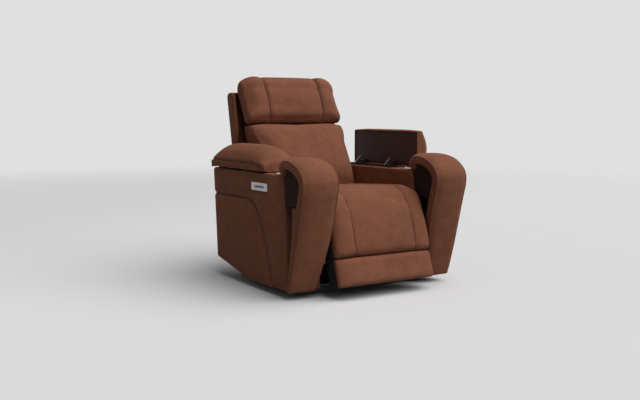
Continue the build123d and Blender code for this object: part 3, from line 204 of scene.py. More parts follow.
def cushion(name, sources, voxel, rounds, cap, pressure=4.0, shape=None):
    """A swollen cushion in place of CAD solids."""
    piece = soft_copy(name, sources, voxel, shape)
    smooth(piece, rounds)
    return inflate(piece, cap, pressure)


def path_distance(places, path):
    """Distance of 2-D places from a path, and how far along the path the nearest point lies."""
    best = np.full(len(places), math.inf)
    along = np.zeros(len(places))
    travelled = 0.0
    for first, second in zip(path[:-1], path[1:]):
        first = np.array(first, float)
        run = np.array(second, float) - first
        size = np.linalg.norm(run)
        share = np.clip(((places - first) @ run) / size**2, 0, 1)
        gap = np.linalg.norm(places - first - share[:, None] * run, axis=1)
        nearer = gap < best
        best[nearer] = gap[nearer]
        along[nearer] = travelled + share[nearer] * size
        travelled += size
    return best, along


def ease(value, start=0.0, run=1.0):
    """Smooth step from 0 at the start to 1 a run later."""
    share = np.clip((value - start) / run, 0, 1)
    return share * share * (3 - 2 * share)


def groove(piece, path, axes, facing, depth, width, pucker=0.0, ends=(1, 1)):
    """Sinks a sewn seam into the faces that look along facing. The path lies in the plane of two axes.

    Ends are the shares of the depth at the path's start and end.
    """
    places = points(piece)
    out = normals(piece)
    gap, along = path_distance(places[:, axes], path)
    turned = ease(out @ np.array(facing, float), start=0.1, run=0.3)
    valley = np.exp(-((gap / width) ** 2))
    wave = np.sin(along * 2 * math.pi / PUCKER_PITCH)
    ripple = 1 + pucker * wave * np.exp(-((gap / (PUCKER_REACH * width)) ** 2))
    ripple *= ends[0] + (ends[1] - ends[0]) * along / along.max()
    set_points(piece, places - out * (depth * valley * ripple * turned)[:, None])
    return piece


def arc(first, middle, last, count=8):
    """Points along the arc through three 2-D points, without its first point."""
    (ay, az), (by, bz), (cy, cz) = first, middle, last
    twice = 2 * (ay * (bz - cz) + by * (cz - az) + cy * (az - bz))
    a2, b2, c2 = ay * ay + az * az, by * by + bz * bz, cy * cy + cz * cz
    oy = (a2 * (bz - cz) + b2 * (cz - az) + c2 * (az - bz)) / twice
    oz = (a2 * (cy - by) + b2 * (ay - cy) + c2 * (by - ay)) / twice
    radius = math.hypot(ay - oy, az - oz)
    start = math.atan2(az - oz, ay - oy)
    half = (math.atan2(bz - oz, by - oy) - start) % (2 * math.pi)
    turn = (math.atan2(cz - oz, cy - oy) - start) % (2 * math.pi)
    if half > turn:
        turn -= 2 * math.pi
    steps = [start + turn * (k + 1) / count for k in range(count)]
    return [(oy + radius * math.cos(angle), oz + radius * math.sin(angle)) for angle in steps]


def tangent_arc(first, heading, last, count=10):
    """Points along the arc that leaves a point along a heading and ends at another, and its last heading."""
    first, last = np.array(first, float), np.array(last, float)
    heading = np.array(heading, float) / np.linalg.norm(heading)
    chord = last - first
    mirror = chord / np.linalg.norm(chord)
    leaving = 2 * (heading @ mirror) * mirror - heading
    half = math.atan2(heading[0] * mirror[1] - heading[1] * mirror[0], heading @ mirror)
    bulge = np.array((-mirror[1], mirror[0])) * np.linalg.norm(chord) / 2 * math.tan(half / 2)
    middle = (first + last) / 2 - bulge
    return arc(tuple(first), tuple(middle), tuple(last), count), leaving


def inner_line(path, depth):
    """A path in Y and Z moved to its right-hand side."""
    path = np.array(path)
    run = np.gradient(path, axis=0)
    run /= np.linalg.norm(run, axis=1, keepdims=True)
    return path + depth * np.column_stack((run[:, 1], -run[:, 0]))


def shade_smooth(piece):
    """Smooth shading all over."""
    piece.data.polygons.foreach_set("use_smooth", np.ones(len(piece.data.polygons), bool))
    return piece


def surface(piece):
    """A search tree of the piece's surface."""
    work = bmesh.new()
    work.from_mesh(piece.data)
    tree = BVHTree.FromBMesh(work)
    work.free()
    return tree


def piping(name, path, radius):
    """A round cord along a path, as a closed mesh tube."""
    curve = bpy.data.curves.new(name, "CURVE")
    curve.dimensions = "3D"
    curve.bevel_depth = radius
    curve.bevel_resolution = 3
    curve.use_fill_caps = True
    spline = curve.splines.new("NURBS")
    spline.points.add(len(path) - 1)
    for place, point in zip(path, spline.points):
        point.co = (*place, 1)
    spline.order_u = 3
    spline.use_endpoint_u = True
    spline.resolution_u = 4
    holder = new_piece(name + "_line", curve)
    graph = bpy.context.evaluated_depsgraph_get()
    mesh = bpy.data.meshes.new_from_object(holder.evaluated_get(graph))
    mesh.name = name
    bpy.data.objects.remove(holder)
    return shade_smooth(new_piece(name, mesh))


# Materials


def srgb(red, green, blue):
    """Linear colour of a 0-255 sRGB colour."""
    linear = []
    for value in (red, green, blue):
        value = value / 255
        linear.append(value / 12.92 if value < 0.04045 else ((value + 0.055) / 1.055) ** 2.4)
    return (*linear, 1.0)


def grey(level):
    """A grey of a linear level."""
    return (level, level, level, 1)


class Shader:
    """A material with one principled shader, and short ways to add nodes to it."""

    def __init__(self, name):
        self.material = bpy.data.materials.new(name)
        self.material.use_nodes = True
        self.tree = self.material.node_tree
        self.main = self.tree.nodes["Principled BSDF"]
        self.coordinates = self.add("ShaderNodeTexCoord").outputs["Object"]

    def add(self, kind, **inputs):
        """A node with some inputs set to values or linked to sockets."""
        node = self.tree.nodes.new(kind)
        for key, value in inputs.items():
            self.set(node, key.replace("_", " "), value)
        return node

    def set(self, node, key, value):
        """Sets or links one input."""
        if isinstance(value, bpy.types.NodeSocket):
            self.tree.links.new(value, node.inputs[key])
        else:
            node.inputs[key].default_value = value

    def noise(self, scale, detail=3.0, roughness=0.6, stretch=(1, 1, 1)):
        """Noise in object space, about scale cycles to the metre."""
        place = self.coordinates
        if stretch != (1, 1, 1):
            mapping = self.add("ShaderNodeMapping", Vector=place, Scale=stretch)
            place = mapping.outputs["Vector"]
        made = self.add("ShaderNodeTexNoise", Vector=place, Scale=scale, Detail=detail, Roughness=roughness)
        return made.outputs["Fac"]

    def ramp(self, value, *stops):
        """Colours along a value. A stop is a place and a colour."""
        node = self.add("ShaderNodeValToRGB", Fac=value)
        ends = node.color_ramp.elements
        while len(ends) < len(stops):
            ends.new(0.5)
        for end, (place, colour) in zip(ends, stops):
            end.position = place
            end.color = colour
        return node.outputs["Color"]

    def mix(self, share, first, second, blend="MIX"):
        """Mix of two colours."""
        node = self.tree.nodes.new("ShaderNodeMix")
        node.data_type = "RGBA"
        node.blend_type = blend
        self.set(node, 0, share)
        self.set(node, 6, first)
        self.set(node, 7, second)
        return node.outputs[2]

    def maths(self, operation, first, second):
        """One sum on two values."""
        node = self.tree.nodes.new("ShaderNodeMath")
        node.operation = operation
        self.set(node, 0, first)
        self.set(node, 1, second)
        return node.outputs[0]

    def smooth_step(self, value, start, end):
        """A value that runs smoothly from 0 at the start to 1 at the end."""
        node = self.add("ShaderNodeMapRange", Value=value, From_Min=start, From_Max=end)
        node.interpolation_type = "SMOOTHSTEP"
        return node.outputs["Result"]

    def bump(self, height, strength, distance):
        """Bump on the main shader."""
        node = self.add("ShaderNodeBump", Height=height, Strength=strength, Distance=distance)
        self.set(self.main, "Normal", node.outputs["Normal"])

    def finish(self, **inputs):
        """Sets the main shader's inputs."""
        for key, value in inputs.items():
            self.set(self.main, key.replace("_", " "), value)
        return self.material


def suede(name, light, mid, dark, sheen):
    """Brushed cloth: clouds of lighter and darker nap, fine mottling and a short fibre grain."""
    shader = Shader(name)
    clouds = shader.noise(scale=16)
    mottle = shader.noise(scale=130)
    fibre = shader.noise(scale=1100, detail=2)
    colour = shader.ramp(clouds, (0.2, mid), (0.85, light))
    shade = shader.ramp(mottle, (0.4, grey(0)), (0.78, grey(1)))
    colour = shader.mix(shader.maths("MULTIPLY", shade, 0.4), colour, dark)
    grain = shader.ramp(fibre, (0.3, grey(0.82)), (0.7, grey(1.12)))
    colour = shader.mix(1.0, colour, grain, "MULTIPLY")
    nap = shader.maths("ADD", fibre, shader.maths("MULTIPLY", mottle, 1.5))
    shader.bump(nap, strength=0.3, distance=0.0009)
    rough = shader.maths("ADD", 0.82, shader.maths("MULTIPLY", mottle, 0.14))
    return shader.finish(
        Base_Color=colour,
        Roughness=rough,
        Sheen_Weight=sheen,
        Sheen_Roughness=0.45,
        Sheen_Tint=light,
        Specular_IOR_Level=0.2,
    )


def grained(name, light, dark, rough, scale, depth, metal=0.0, stretch=(1, 1, 1), specular=0.5):
    """Leathercloth, thread, plastic or metal with a grain of its own scale."""
    shader = Shader(name)
    clouds = shader.noise(scale=14)
    grain = shader.noise(scale, stretch=stretch)
    colour = shader.mix(shader.maths("MULTIPLY", grain, 0.7), light, dark)
    colour = shader.mix(shader.maths("MULTIPLY", clouds, 0.25), colour, dark)
    shader.bump(grain, strength=0.25, distance=depth)
    spread = shader.maths("ADD", rough - 0.08, shader.maths("MULTIPLY", grain, 0.16))
    return shader.finish(Base_Color=colour, Roughness=spread, Metallic=metal, Specular_IOR_Level=specular)


def plywood(name):
    """Plywood in dark browns, with long grain."""
    shader = Shader(name)
    grain = shader.noise(scale=45, detail=4, stretch=(1, 0.08, 1))
    colour = shader.ramp(grain, (0.3, srgb(62, 43, 31)), (0.7, srgb(88, 63, 46)))
    shader.bump(grain, strength=0.2, distance=0.0006)
    return shader.finish(Base_Color=colour, Roughness=0.7)


FABRIC = suede("brown_suede", srgb(146, 92, 68), srgb(122, 77, 57), srgb(92, 57, 42), sheen=0.12)
WELT = suede("welt_suede", srgb(128, 80, 60), srgb(106, 66, 49), srgb(80, 49, 37), sheen=0.1)
THREAD = grained(
    "brown_thread", srgb(112, 72, 54), srgb(84, 52, 39), rough=0.6, scale=1500, depth=0.0001, specular=0.3
)
# Painted shade: a dark cord laid in the seam grooves, so that they read as the shaded valleys of the seams
SEAM_SHADE = grained(
    "seam_thread", srgb(46, 30, 23), srgb(30, 19, 15), rough=0.8, scale=1500, depth=0.0001, specular=0.2
)
VINYL = grained(
    "dark_vinyl", srgb(86, 56, 50), srgb(60, 38, 34), rough=0.6, scale=420, depth=0.0006, specular=0.25
)
# Dark vinyl for the necks, darker than the lid's, with painted shade of their recess between arm and wing
RECESS_SHADE = grained(
    "recess_vinyl", srgb(52, 36, 33), srgb(36, 24, 22), rough=0.85, scale=420, depth=0.0006, specular=0.1
)
BLACK_CLOTH = grained(
    "black_cloth", srgb(34, 33, 35), srgb(20, 20, 22), rough=0.9, scale=700, depth=0.0005, specular=0.2
)
BLACK_STEEL = grained("black_steel", srgb(40, 40, 42), srgb(26, 26, 28), rough=0.5, scale=380, depth=0.0003)
HINGE = grained(
    "black_hinge", srgb(24, 22, 22), srgb(16, 15, 15), rough=0.75, scale=380, depth=0.0003, specular=0.1
)
BRIGHT_STEEL = grained(
    "bright_steel", (0.6, 0.6, 0.61, 1), (0.42, 0.42, 0.43, 1), rough=0.3, scale=500, depth=0.0002, metal=1.0
)
CHROME = grained(
    "chrome",
    (0.82, 0.82, 0.84, 1),
    (0.7, 0.7, 0.72, 1),
    rough=0.16,
    scale=260,
    depth=0.0001,
    metal=1.0,
    stretch=(1, 1, 0.1),
)
PLASTIC = grained("black_plastic", srgb(36, 36, 38), srgb(24, 24, 26), rough=0.6, scale=900, depth=0.0003)
SILVER = grained(
    "silver_plate",
    (0.5, 0.48, 0.47, 1),
    (0.4, 0.385, 0.38, 1),
    rough=0.42,
    scale=900,
    depth=0.0001,
    metal=0.8,
    stretch=(1, 0.05, 1),
)
BUTTON = grained(
    "button_plastic", srgb(122, 128, 140), srgb(100, 106, 118), rough=0.45, scale=1200, depth=0.0001
)
PLYWOOD = plywood("plywood")

SLOT_MATERIALS = {
    "brown_fabric": FABRIC,
    "dark_vinyl": VINYL,
    "plywood": PLYWOOD,
    "black_cloth": BLACK_CLOTH,
    "black_steel": BLACK_STEEL,
    "bright_steel": BRIGHT_STEEL,
    "chrome_cup": CHROME,
    "black_plastic": PLASTIC,
    "silver_plate": SILVER,
    "blue_grey_plastic": BUTTON,
}
for row in frame["record"]["subparts"]:
    solid = nodes[row["node"]]
    solid.data.materials.clear()
    solid.data.materials.append(SLOT_MATERIALS[row["material_slot"]])
for name, _ in SIDES:
    for leaf in ("hinge_brackets", "lid_hinges"):
        nodes[f"{name}_{leaf}"].data.materials[0] = HINGE
nodes["pivot_pins"].data.materials[0] = BLACK_STEEL


# Sewing
STITCH_RING = ((1, 0), (0.5, 0.9), (-0.5, 0.9), (-1, 0), (-0.5, -0.9), (0.5, -0.9))


def upholster(piece, body, replaced, material=FABRIC):
    """Dresses a padded piece in cloth and hangs it on a body in place of its CAD solids."""
    piece.data.materials.clear()
    piece.data.materials.append(material)
    shade_smooth(piece)
    if replaced:
        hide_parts(*replaced)
    if body:
        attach(piece, body)
    return piece


def sewn(piece, material):
    """Gives a thread or welt its material."""
    piece.data.materials.append(material)
    return piece


def seam_shade_line(name, tree, rays, radius=0.0018):
    """A dark cord of painted shade in a sewn groove, darkening it like the shade in the seam's valley. Found by
    looking at a surface along rays.
    """
    seated = []
    for place, facing in rays:
        facing = Vector(facing).normalized()
        spot, _, _, _ = tree.ray_cast(Vector(place) + facing, -facing)
        if spot:
            seated.append(spot)
    return sewn(piping(name, seated, radius), SEAM_SHADE)


def fan(x, y, z, first, last, count):
    """Rays that look at a centre in a plane of constant X, from one angle above the front to another."""
    turns = [math.radians(angle) for angle in np.linspace(first, last, count)]
    return [((x, y, z), (0, -math.cos(turn), math.sin(turn))) for turn in turns]


def welt(name, tree, path, radius, sink):
    """A welt that lies on a surface, a little sunk into it."""
    seated = []
    for place in path:
        spot, normal, _, _ = tree.find_nearest(Vector(place))
        seated.append(spot - normal * sink)
    return sewn(piping(name, seated, radius), WELT)


def stitch(work, start, end, normal, radius):
    """One stitch: a spindle from point to point, raised in the middle."""
    across = normal.cross((end - start).normalized())
    middle = (start + end) / 2 + normal * radius
    rings = []
    for centre, wide in ((start, radius * 0.5), (middle, radius), (end, radius * 0.5)):
        corners = [centre + across * (wide * a) + normal * (wide * b) for a, b in STITCH_RING]
        rings.append([work.verts.new(corner) for corner in corners])
    for lower, upper in zip(rings[:-1], rings[1:]):
        for k in range(len(STITCH_RING)):
            after = (k + 1) % len(STITCH_RING)
            work.faces.new((lower[k], lower[after], upper[after], upper[k]))
    work.faces.new(reversed(rings[0]))
    work.faces.new(rings[-1])


def stitching(name, tree, path, pitch=0.0065, length=0.004, radius=0.0006):
    """A row of thread stitches that lies on a surface along a path."""
    path = [Vector(place) for place in path]
    work = bmesh.new()
    carried = 0.0
    for first, second in zip(path[:-1], path[1:]):
        run = second - first
        while carried < run.length:
            start, normal, _, _ = tree.find_nearest(first + run * (carried / run.length))
            end, _, _, _ = tree.find_nearest(first + run * min(1, (carried + length) / run.length))
            carried += pitch
            if (end - start).length >= length / 3:
                stitch(work, start, end, normal, radius)
        carried -= run.length
    return shade_smooth(sewn(mesh_piece(name, work), THREAD))


# Headrest: a plump pillow with two sewn channels
HEAD_NODES = ["headrest_pad", "headrest_board"]
HEAD_SEAM = 0.172
HEAD_SEAM_TOP, HEAD_SEAM_FOOT = 1.11, 0.84
head_low, head_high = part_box("headrest_pad")
head_y = (head_low.y + head_high.y) / 2


def level_top(piece):
    """Brings the side lobes up to the middle, which dips a little, and rolls the front back at the top."""
    lobe_rise, dip_depth, top_roll, foot_roll = 0.003, 0.004, 0.016, 0.007
    half_width, foot_z = 0.315, 0.94
    places = points(piece)
    wide = np.abs(places[:, 0])
    lobes = ease(wide, start=0.10, run=0.08) * ease(half_width - wide, run=0.05)
    dip = 1 - ease(wide, run=0.15)
    places[:, 2] += (lobe_rise * lobes - dip_depth * dip) * ease(places[:, 2], start=0.93, run=0.12)
    front = ease(-normals(piece)[:, 1], start=-0.1, run=0.6)
    back = top_roll * ease(places[:, 2], start=0.97, run=0.11)
    places[:, 1] += (back - foot_roll * ease(foot_z - places[:, 2], run=0.07)) * front
    set_points(piece, places)


headrest = cushion("headrest_cushion", HEAD_NODES, voxel=0.007, rounds=12, cap=0.014, pressure=5.0)
subdivide(headrest)
level_top(headrest)
for x in (-HEAD_SEAM, HEAD_SEAM):
    channel = [(x, HEAD_SEAM_TOP), (x, HEAD_SEAM_FOOT)]
    groove(headrest, channel, XZ, (0, -1, 0.3), depth=0.010, width=0.009, pucker=0.06, ends=(1.0, 0.5))
# The dark cords along the channels are painted shade of the seam valleys
head_surface = surface(headrest)
for name, side in SIDES:
    x = side * HEAD_SEAM
    rays = fan(x, head_y, head_high.z - 0.055, first=85, last=12, count=8)
    rays += [((x, head_y, z), (0, -1, 0.2)) for z in np.linspace(head_high.z - 0.07, head_low.z + 0.02, 14)]
    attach(seam_shade_line(f"headrest_seam_{name}", head_surface, rays, radius=0.0024), "headrest")
upholster(headrest, "headrest", HEAD_NODES)


# Back: cushion and outer shell


def widen_top(piece):
    """Widens the back cushion above the arms."""
    spread = 0.06
    places = points(piece)
    places[:, 0] *= 1 + spread * ease(places[:, 2], start=0.71, run=0.07)
    set_points(piece, places)


back_pillow = cushion("back_pillow", ["back_cushion"], voxel=0.008, rounds=6, cap=0.010)
subdivide(back_pillow)
widen_top(back_pillow)
upholster(back_pillow, "back", ["back_cushion"])

back_cover = soft_copy("back_cover", ["back_shell"], voxel=0.006)
smooth(back_cover, rounds=5)
upholster(back_cover, "back", ["back_shell"])

# Chaise: seat, crown and legrest front as one run of cloth
CHAISE_NODES = ["seat_cushion", "chaise_pad", "legrest_pad"]
CHAISE_SEAM = 0.180
CHAISE_SEAM_TOP, CHAISE_SEAM_FOOT = 0.60, 0.10
SEAT_REAR, SEAT_Z = 0.12, 0.42
LEGREST_RUN = 0.285
# The cloth bends over the legrest's pivot at the crown's radius, between a spread before it and one after it
SLOPE = math.radians(18.4)
PIVOT = hinges["legrest_swing"]
DOWN = np.array((0, -math.sin(SLOPE), -math.cos(SLOPE)))
OUT = np.array((0, -math.cos(SLOPE), math.sin(SLOPE)))

chaise = cushion("chaise_cover", CHAISE_NODES, voxel=0.008, rounds=6, cap=0.010)
subdivide(chaise)
for x in (-CHAISE_SEAM, CHAISE_SEAM):
    channel = [(x, CHAISE_SEAM_TOP), (x, CHAISE_SEAM_FOOT)]
    groove(chaise, channel, XZ, (0, -1, 0.5), depth=0.004, width=0.006, pucker=0.15)
upholster(chaise, None, CHAISE_NODES)
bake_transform(chaise)
chaise_surface = surface(chaise)
# The dark cords along the chaise seams are painted shade of the seam valleys
for name, side in SIDES:
    x = side * CHAISE_SEAM
    rays = [((x, y, SEAT_Z), (0, 0, 1)) for y in np.linspace(SEAT_REAR, PIVOT[1], 16)]
    rays += fan(x, PIVOT[1], PIVOT[2], first=80, last=20, count=7)
    rays += [((x, *(PIVOT + DOWN * run)[1:]), tuple(OUT)) for run in np.linspace(0.0, LEGREST_RUN, 14)]
    chaise_seam_shade = seam_shade_line(f"chaise_seam_{name}", chaise_surface, rays, radius=0.0014)
    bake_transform(chaise_seam_shade)

lower_panel = cushion("legrest_panel", ["legrest_lower_panel"], voxel=0.006, rounds=4, cap=0.006)
subdivide(lower_panel)
upholster(lower_panel, "legrest", ["legrest_lower_panel"])


# Arms: cover with its side panel inside a curved seam
ARM_IN, ARM_OUT, ARM_LOW, ARM_TOP = 0.290, 0.476, 0.036, 0.592
ARM_REAR, ARM_FRONT, ARM_TOP_FRONT = 0.436, -0.382, -0.340
SEAM_HEIGHT = 0.452
SEAM_BEND = 0.050
SEAM_KNEE, SEAM_FOOT = (-0.098, 0.365), (-0.228, ARM_LOW)
STRAIGHT_REAR, STRAIGHT_FRONT = 0.430, 0.060
PANEL_SWELL = 0.006
STITCH_SIDE, STITCH_RISE, STITCH_FORWARD = 0.002, 0.006, 0.006
panel_seam = [(ARM_REAR, SEAM_HEIGHT), (SEAM_BEND, SEAM_HEIGHT)]
bend, heading = tangent_arc(panel_seam[-1], (-1, 0), SEAM_KNEE)
panel_seam += bend
fall, _ = tangent_arc(panel_seam[-1], heading, SEAM_FOOT)
panel_seam += fall
arm_edge = [(ARM_TOP_FRONT, ARM_TOP), (ARM_REAR, ARM_TOP), (0.398, 0.104), (0.020, ARM_LOW)]
arm_edge += [(ARM_FRONT, ARM_LOW), (ARM_TOP_FRONT, ARM_TOP)]
plate_low, plate_high = (np.array(corner, float)[YZ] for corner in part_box("control_plate"))


def push_round(places, out, push):
    """Moves places along the part of their normals that lies in Y and Z, less where that part is short."""
    full_length = 0.3
    flat = out * (0, 1, 1)
    return places + push * flat / np.maximum(np.linalg.norm(flat, axis=1, keepdims=True), full_length)


def grow_panel(source, places, out):
    """Lets the side panel run under the edge of the cover round it."""
    lap = 0.004
    return push_round(places, out, lap) if source.endswith("side_panel") else places


def pad_side(piece, side):
    """Pads the outer side of an arm: full between its seams, flat behind the control plate."""
    places = points(piece)
    out = normals(piece)
    flat = places[:, YZ]
    edge, _ = path_distance(flat, arm_edge)
    seam, _ = path_distance(flat, panel_seam)
    fullness = ease(edge, run=0.05) * ease(seam, run=0.06)
    past_plate = np.abs(flat - (plate_low + plate_high) / 2) - (plate_high - plate_low) / 2
    beside = np.linalg.norm(np.maximum(past_plate, 0), axis=1)
    fullness *= ease(beside, start=0.004, run=0.04)
    outward = ease(out[:, 0] * side, start=0.5, run=0.4) * (np.abs(places[:, 0]) > ARM_OUT - 0.004)
    places[:, 0] += side * PANEL_SWELL * fullness * outward
    set_points(piece, places)


def dress_arm(name, side):
    """Cover and side panel as one piece, with the stitches of the seam between them and a dark cord of painted
    shade in its groove.
    """
    sources = [f"{name}_arm_cover", f"{name}_side_panel"]
    cover = soft_copy(f"{name}_arm_upholstery", sources, voxel=0.005, shape=grow_panel)
    smooth(cover, rounds=5)
    pad_side(cover, side)
    groove(cover, panel_seam, YZ, (side, 0, 0), depth=0.008, width=0.008)
    rear_seam = [(-0.5, SEAM_HEIGHT), (0.5, SEAM_HEIGHT)]
    groove(cover, rear_seam, XZ, (0, 1, 0), depth=0.0065, width=0.008)
    upholster(cover, "base", sources)
    cover_surface = surface(cover)
    x = side * (ARM_OUT + STITCH_SIDE)
    row = [(x, y, z + STITCH_RISE) for y, z in panel_seam[:2]]
    row += [(x, y - STITCH_FORWARD, z + STITCH_RISE / 2) for y, z in panel_seam[2:]]
    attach(stitching(f"{name}_arm_stitches", cover_surface, row), "base")
    rays = [((0, y, SEAM_HEIGHT), (side, 0, 0)) for y in np.linspace(STRAIGHT_REAR, STRAIGHT_FRONT, 24)]
    rays += [((0, y, z), (side, 0, 0)) for y, z in panel_seam[1:]]
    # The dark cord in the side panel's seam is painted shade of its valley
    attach(seam_shade_line(f"{name}_arm_seam_shade", cover_surface, rays, radius=0.0026), "base")


# Wings: padded fronts of the arms, sunk behind their rims, with welts along both edges
WING_OUT = 0.490
SAME_SIDE = 0.0008
BOX_PUSH, FOOT_TOP = 0.010, 0.05


def square_wing(source, places, out):
    """Boxes the edges of a wing: brings the borders of its two sides out to the line of its front."""
    wide = np.abs(places[:, 0])
    border = (np.abs(wide - ARM_IN) < SAME_SIDE) | (np.abs(wide - WING_OUT) < SAME_SIDE)
    forward = (out[:, 1] < 0.1) | (out[:, 2] > 0.2)
    push = BOX_PUSH * (border & forward & (places[:, 2] > FOOT_TOP))
    return push_round(places, out, push[:, None])


def wing_edge(side, x):
    """The edge of a wing's front panel, from the foot up and over to the rear roll."""
    path = [(-0.406, 0.038)]
    path += arc(path[-1], (-0.465, 0.225), (-0.535, 0.493))
    path += arc(path[-1], (-0.546, 0.570), (-0.522, 0.613), count=6)
    path += arc(path[-1], (-0.456, 0.654), (-0.352, 0.665), count=6)
    return [(side * x, y, z) for y, z in path]


WING_RIM = [place[1:] for place in wing_edge(1, 0)] + [(-0.332, 0.654), (-0.320, 0.615)]


def even_wing(piece):
    """Evens out the hollow where the front of a wing turns from its shin to its roll."""
    reach, spread, roll_z = 24, 9.0, 0.575
    line = [(-0.408, 0.036)]
    line += arc(line[-1], (-0.475, 0.225), (-0.545, 0.493), count=24)
    line += arc(line[-1], (-0.557, 0.570), (-0.534, 0.626), count=24)
    line = np.array(line)
    heights = np.linspace(0.036, 0.60, 142)
    front = np.interp(heights, line[:, 1], line[:, 0])
    weights = np.exp(-0.5 * (np.arange(-reach, reach + 1) / spread) ** 2)
    before = 2 * front[0] - front[reach:0:-1]
    after = 2 * front[-1] - front[-2 : -reach - 2 : -1]
    eased = np.convolve(np.concatenate((before, front, after)), weights / weights.sum(), "valid")
    places = points(piece)
    facing = ease(-normals(piece)[:, 1], start=0.1, run=0.4)
    share = ease(places[:, 2], start=0.34, run=0.06) * ease(roll_z - places[:, 2], run=0.04)
    places[:, 1] += np.interp(places[:, 2], heights, eased - front) * facing * share
    set_points(piece, places)


def carve_wing(piece, side):
    """Sinks the sides of a wing behind its rim."""
    outer, outer_sink, inner, inner_sink = 0.510, 0.048, 0.270, 0.042
    places = points(piece)
    gap, _ = path_distance(places[:, YZ], WING_RIM)
    sunk = ease(gap, start=0.037, run=0.010)
    wide = np.minimum(np.abs(places[:, 0]), outer - outer_sink * sunk)
    places[:, 0] = side * np.maximum(wide, inner + inner_sink * sunk)
    set_points(piece, places)


def dress_wing(name, side):
    """The padded wing and the welts along its front."""
    solid = f"{name}_wing"
    wing = cushion(f"{name}_wing_pad", [solid], voxel=0.006, rounds=4, cap=0.005, shape=square_wing)
    even_wing(wing)
    subdivide(wing)
    carve_wing(wing, side)
    upholster(wing, "base", [solid])
    wing_surface = surface(wing)
    for place, x in (("outer", WING_OUT), ("inner", ARM_IN)):
        path = wing_edge(side, x)
        edge = welt(f"{name}_wing_{place}_welt", wing_surface, path, radius=0.0042, sink=0.0012)
        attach(edge, "base")


# Necks: the sunk pieces between arm and wing
ARM_LEAN = 0.042
WING_BACK, WING_LEAN = -0.3847, -0.1023
NECK_VOXEL = 0.004
SEAM_GAP, ARM_GAP, WING_LAP = 0.005, 0.001, 0.003
RIM_WIDTH = 0.034
CORE_SINK = 0.030
PANEL_SHARE, PANEL_INSIDE, PANEL_OUTSIDE = 0.48, 0.040, 0.010
CAP_INSIDE, CAP_OUTSIDE = 0.012, 0.004
CAP_FOOT, CAP_DROP, CAP_REAR = 0.012, 0.003, (-0.366, 0.602)


def leaning(foot, lean, z):
    """Y at a height of a line that leans by so much from the arm's foot to its top."""
    return foot + lean * (z - ARM_LOW) / (ARM_TOP - ARM_LOW)


def arm_front(z):
    """Y of the front of the arm at a height."""
    return leaning(ARM_FRONT, ARM_LEAN, z)


def wing_back(z):
    """Y of the back of the wing at a height."""
    return leaning(WING_BACK, WING_LEAN, z)


def block(name, side, outline, low, high):
    """A cloth-covered block: an outline in Y and Z, run from one X to another."""
    work = bmesh.new()
    ends = [[work.verts.new((side * x, y, z)) for y, z in outline] for x in (low, high)]
    work.faces.new(ends[0])
    work.faces.new(ends[1])
    for k in range(len(outline)):
        work.faces.new((ends[0][k - 1], ends[0][k], ends[1][k], ends[1][k - 1]))
    bmesh.ops.recalc_face_normals(work, faces=work.faces)
    return smooth(remesh(mesh_piece(name, work), NECK_VOXEL), rounds=3)


neck_top = SEAM_HEIGHT - SEAM_GAP
neck_core = [(arm_front(z) - ARM_GAP, z) for z in (ARM_LOW, neck_top)]
neck_core += [(wing_back(z) - WING_LAP, z) for z in (neck_top, ARM_LOW)]
lower_neck = [((1 - PANEL_SHARE) * arm_front(z) + PANEL_SHARE * wing_back(z), z) for z in (ARM_LOW, neck_top)]
lower_neck += neck_core[2:]
upper_neck = [tuple(place) for place in inner_line(WING_RIM, RIM_WIDTH) if place[1] > SEAM_HEIGHT][:-2]
upper_neck = [(upper_neck[0][0] + CAP_FOOT, SEAM_HEIGHT)] + upper_neck
upper_neck += [CAP_REAR, (arm_front(ARM_TOP) - ARM_GAP, ARM_TOP - CAP_DROP)]
upper_neck += [(arm_front(SEAM_HEIGHT) - ARM_GAP, SEAM_HEIGHT)]


def dress_neck(name, side):
    """A core, a cloth panel outside it and a cap above. Core and cap are dark vinyl, made darker still with
    painted shade of the recess between arm and wing.
    """
    core = block(f"{name}_neck_core", side, neck_core, ARM_IN + CORE_SINK, ARM_OUT - CORE_SINK)
    upholster(core, "base", [], material=RECESS_SHADE)
    panel = block(f"{name}_neck_panel", side, lower_neck, ARM_OUT - PANEL_INSIDE, ARM_OUT - PANEL_OUTSIDE)
    upholster(panel, "base", [])
    cap = block(f"{name}_neck_cap", side, upper_neck, ARM_IN + CAP_INSIDE, ARM_OUT - CAP_OUTSIDE)
    upholster(cap, "base", [], material=RECESS_SHADE)


# Lids: a pillow with a fold round its side. The right one is the left one mirrored and open
LID_FOLD = [(0.46, 0.638), (0.30, 0.6375), (0.10, 0.6365), (-0.075, 0.635), (-0.110, 0.625), (-0.150, 0.596)]
LID_MIDDLE = 0.40


def box_lid(source, places, out):
    """Makes the lid's pillow fuller, with a skirt that hides the gap above the arm."""
    floor_z, rim_z, outer_x = 0.5987, 0.612, -0.46
    crown, skirt_drop, skirt_swell = 0.10, 0.005, 0.006
    low = 1 - ease(places[:, 2], start=floor_z, run=rim_z - floor_z)
    outer = places[:, 0] < outer_x
    places[:, 2] += np.where(places[:, 2] > rim_z, crown * (places[:, 2] - rim_z), -skirt_drop * low)
    places[:, 0] -= skirt_swell * low * outer
    return places


def drop_skirt(piece):
    """Brings the lower edge of the left lid's pillow down to the arm, less on the hinge side."""
    rim_z, floor_z, hinge_floor_z, rear_floor_z, rear_y = 0.622, 0.5925, 0.5988, 0.592, 0.4545
    side_swell, rear_swell = 0.003, 0.006
    places = points(piece)
    low = places[:, 2].min()
    share = np.clip((rim_z - places[:, 2]) / (rim_z - low), 0, 1)
    floor_z += (hinge_floor_z - floor_z) * ease(-places[:, 0], start=0.452, run=0.014)
    floor_z += (rear_floor_z - floor_z) * ease(places[:, 1], start=0.424, run=0.016)
    places[:, 2] -= (low - floor_z) * share
    places[:, 0] -= side_swell * ease(-places[:, 0], start=0.44, run=0.03)
    places[:, 1] += rear_swell * ease(places[:, 1], start=0.36, run=0.08)
    places[:, 1] = np.minimum(places[:, 1], rear_y)
    set_points(piece, places)


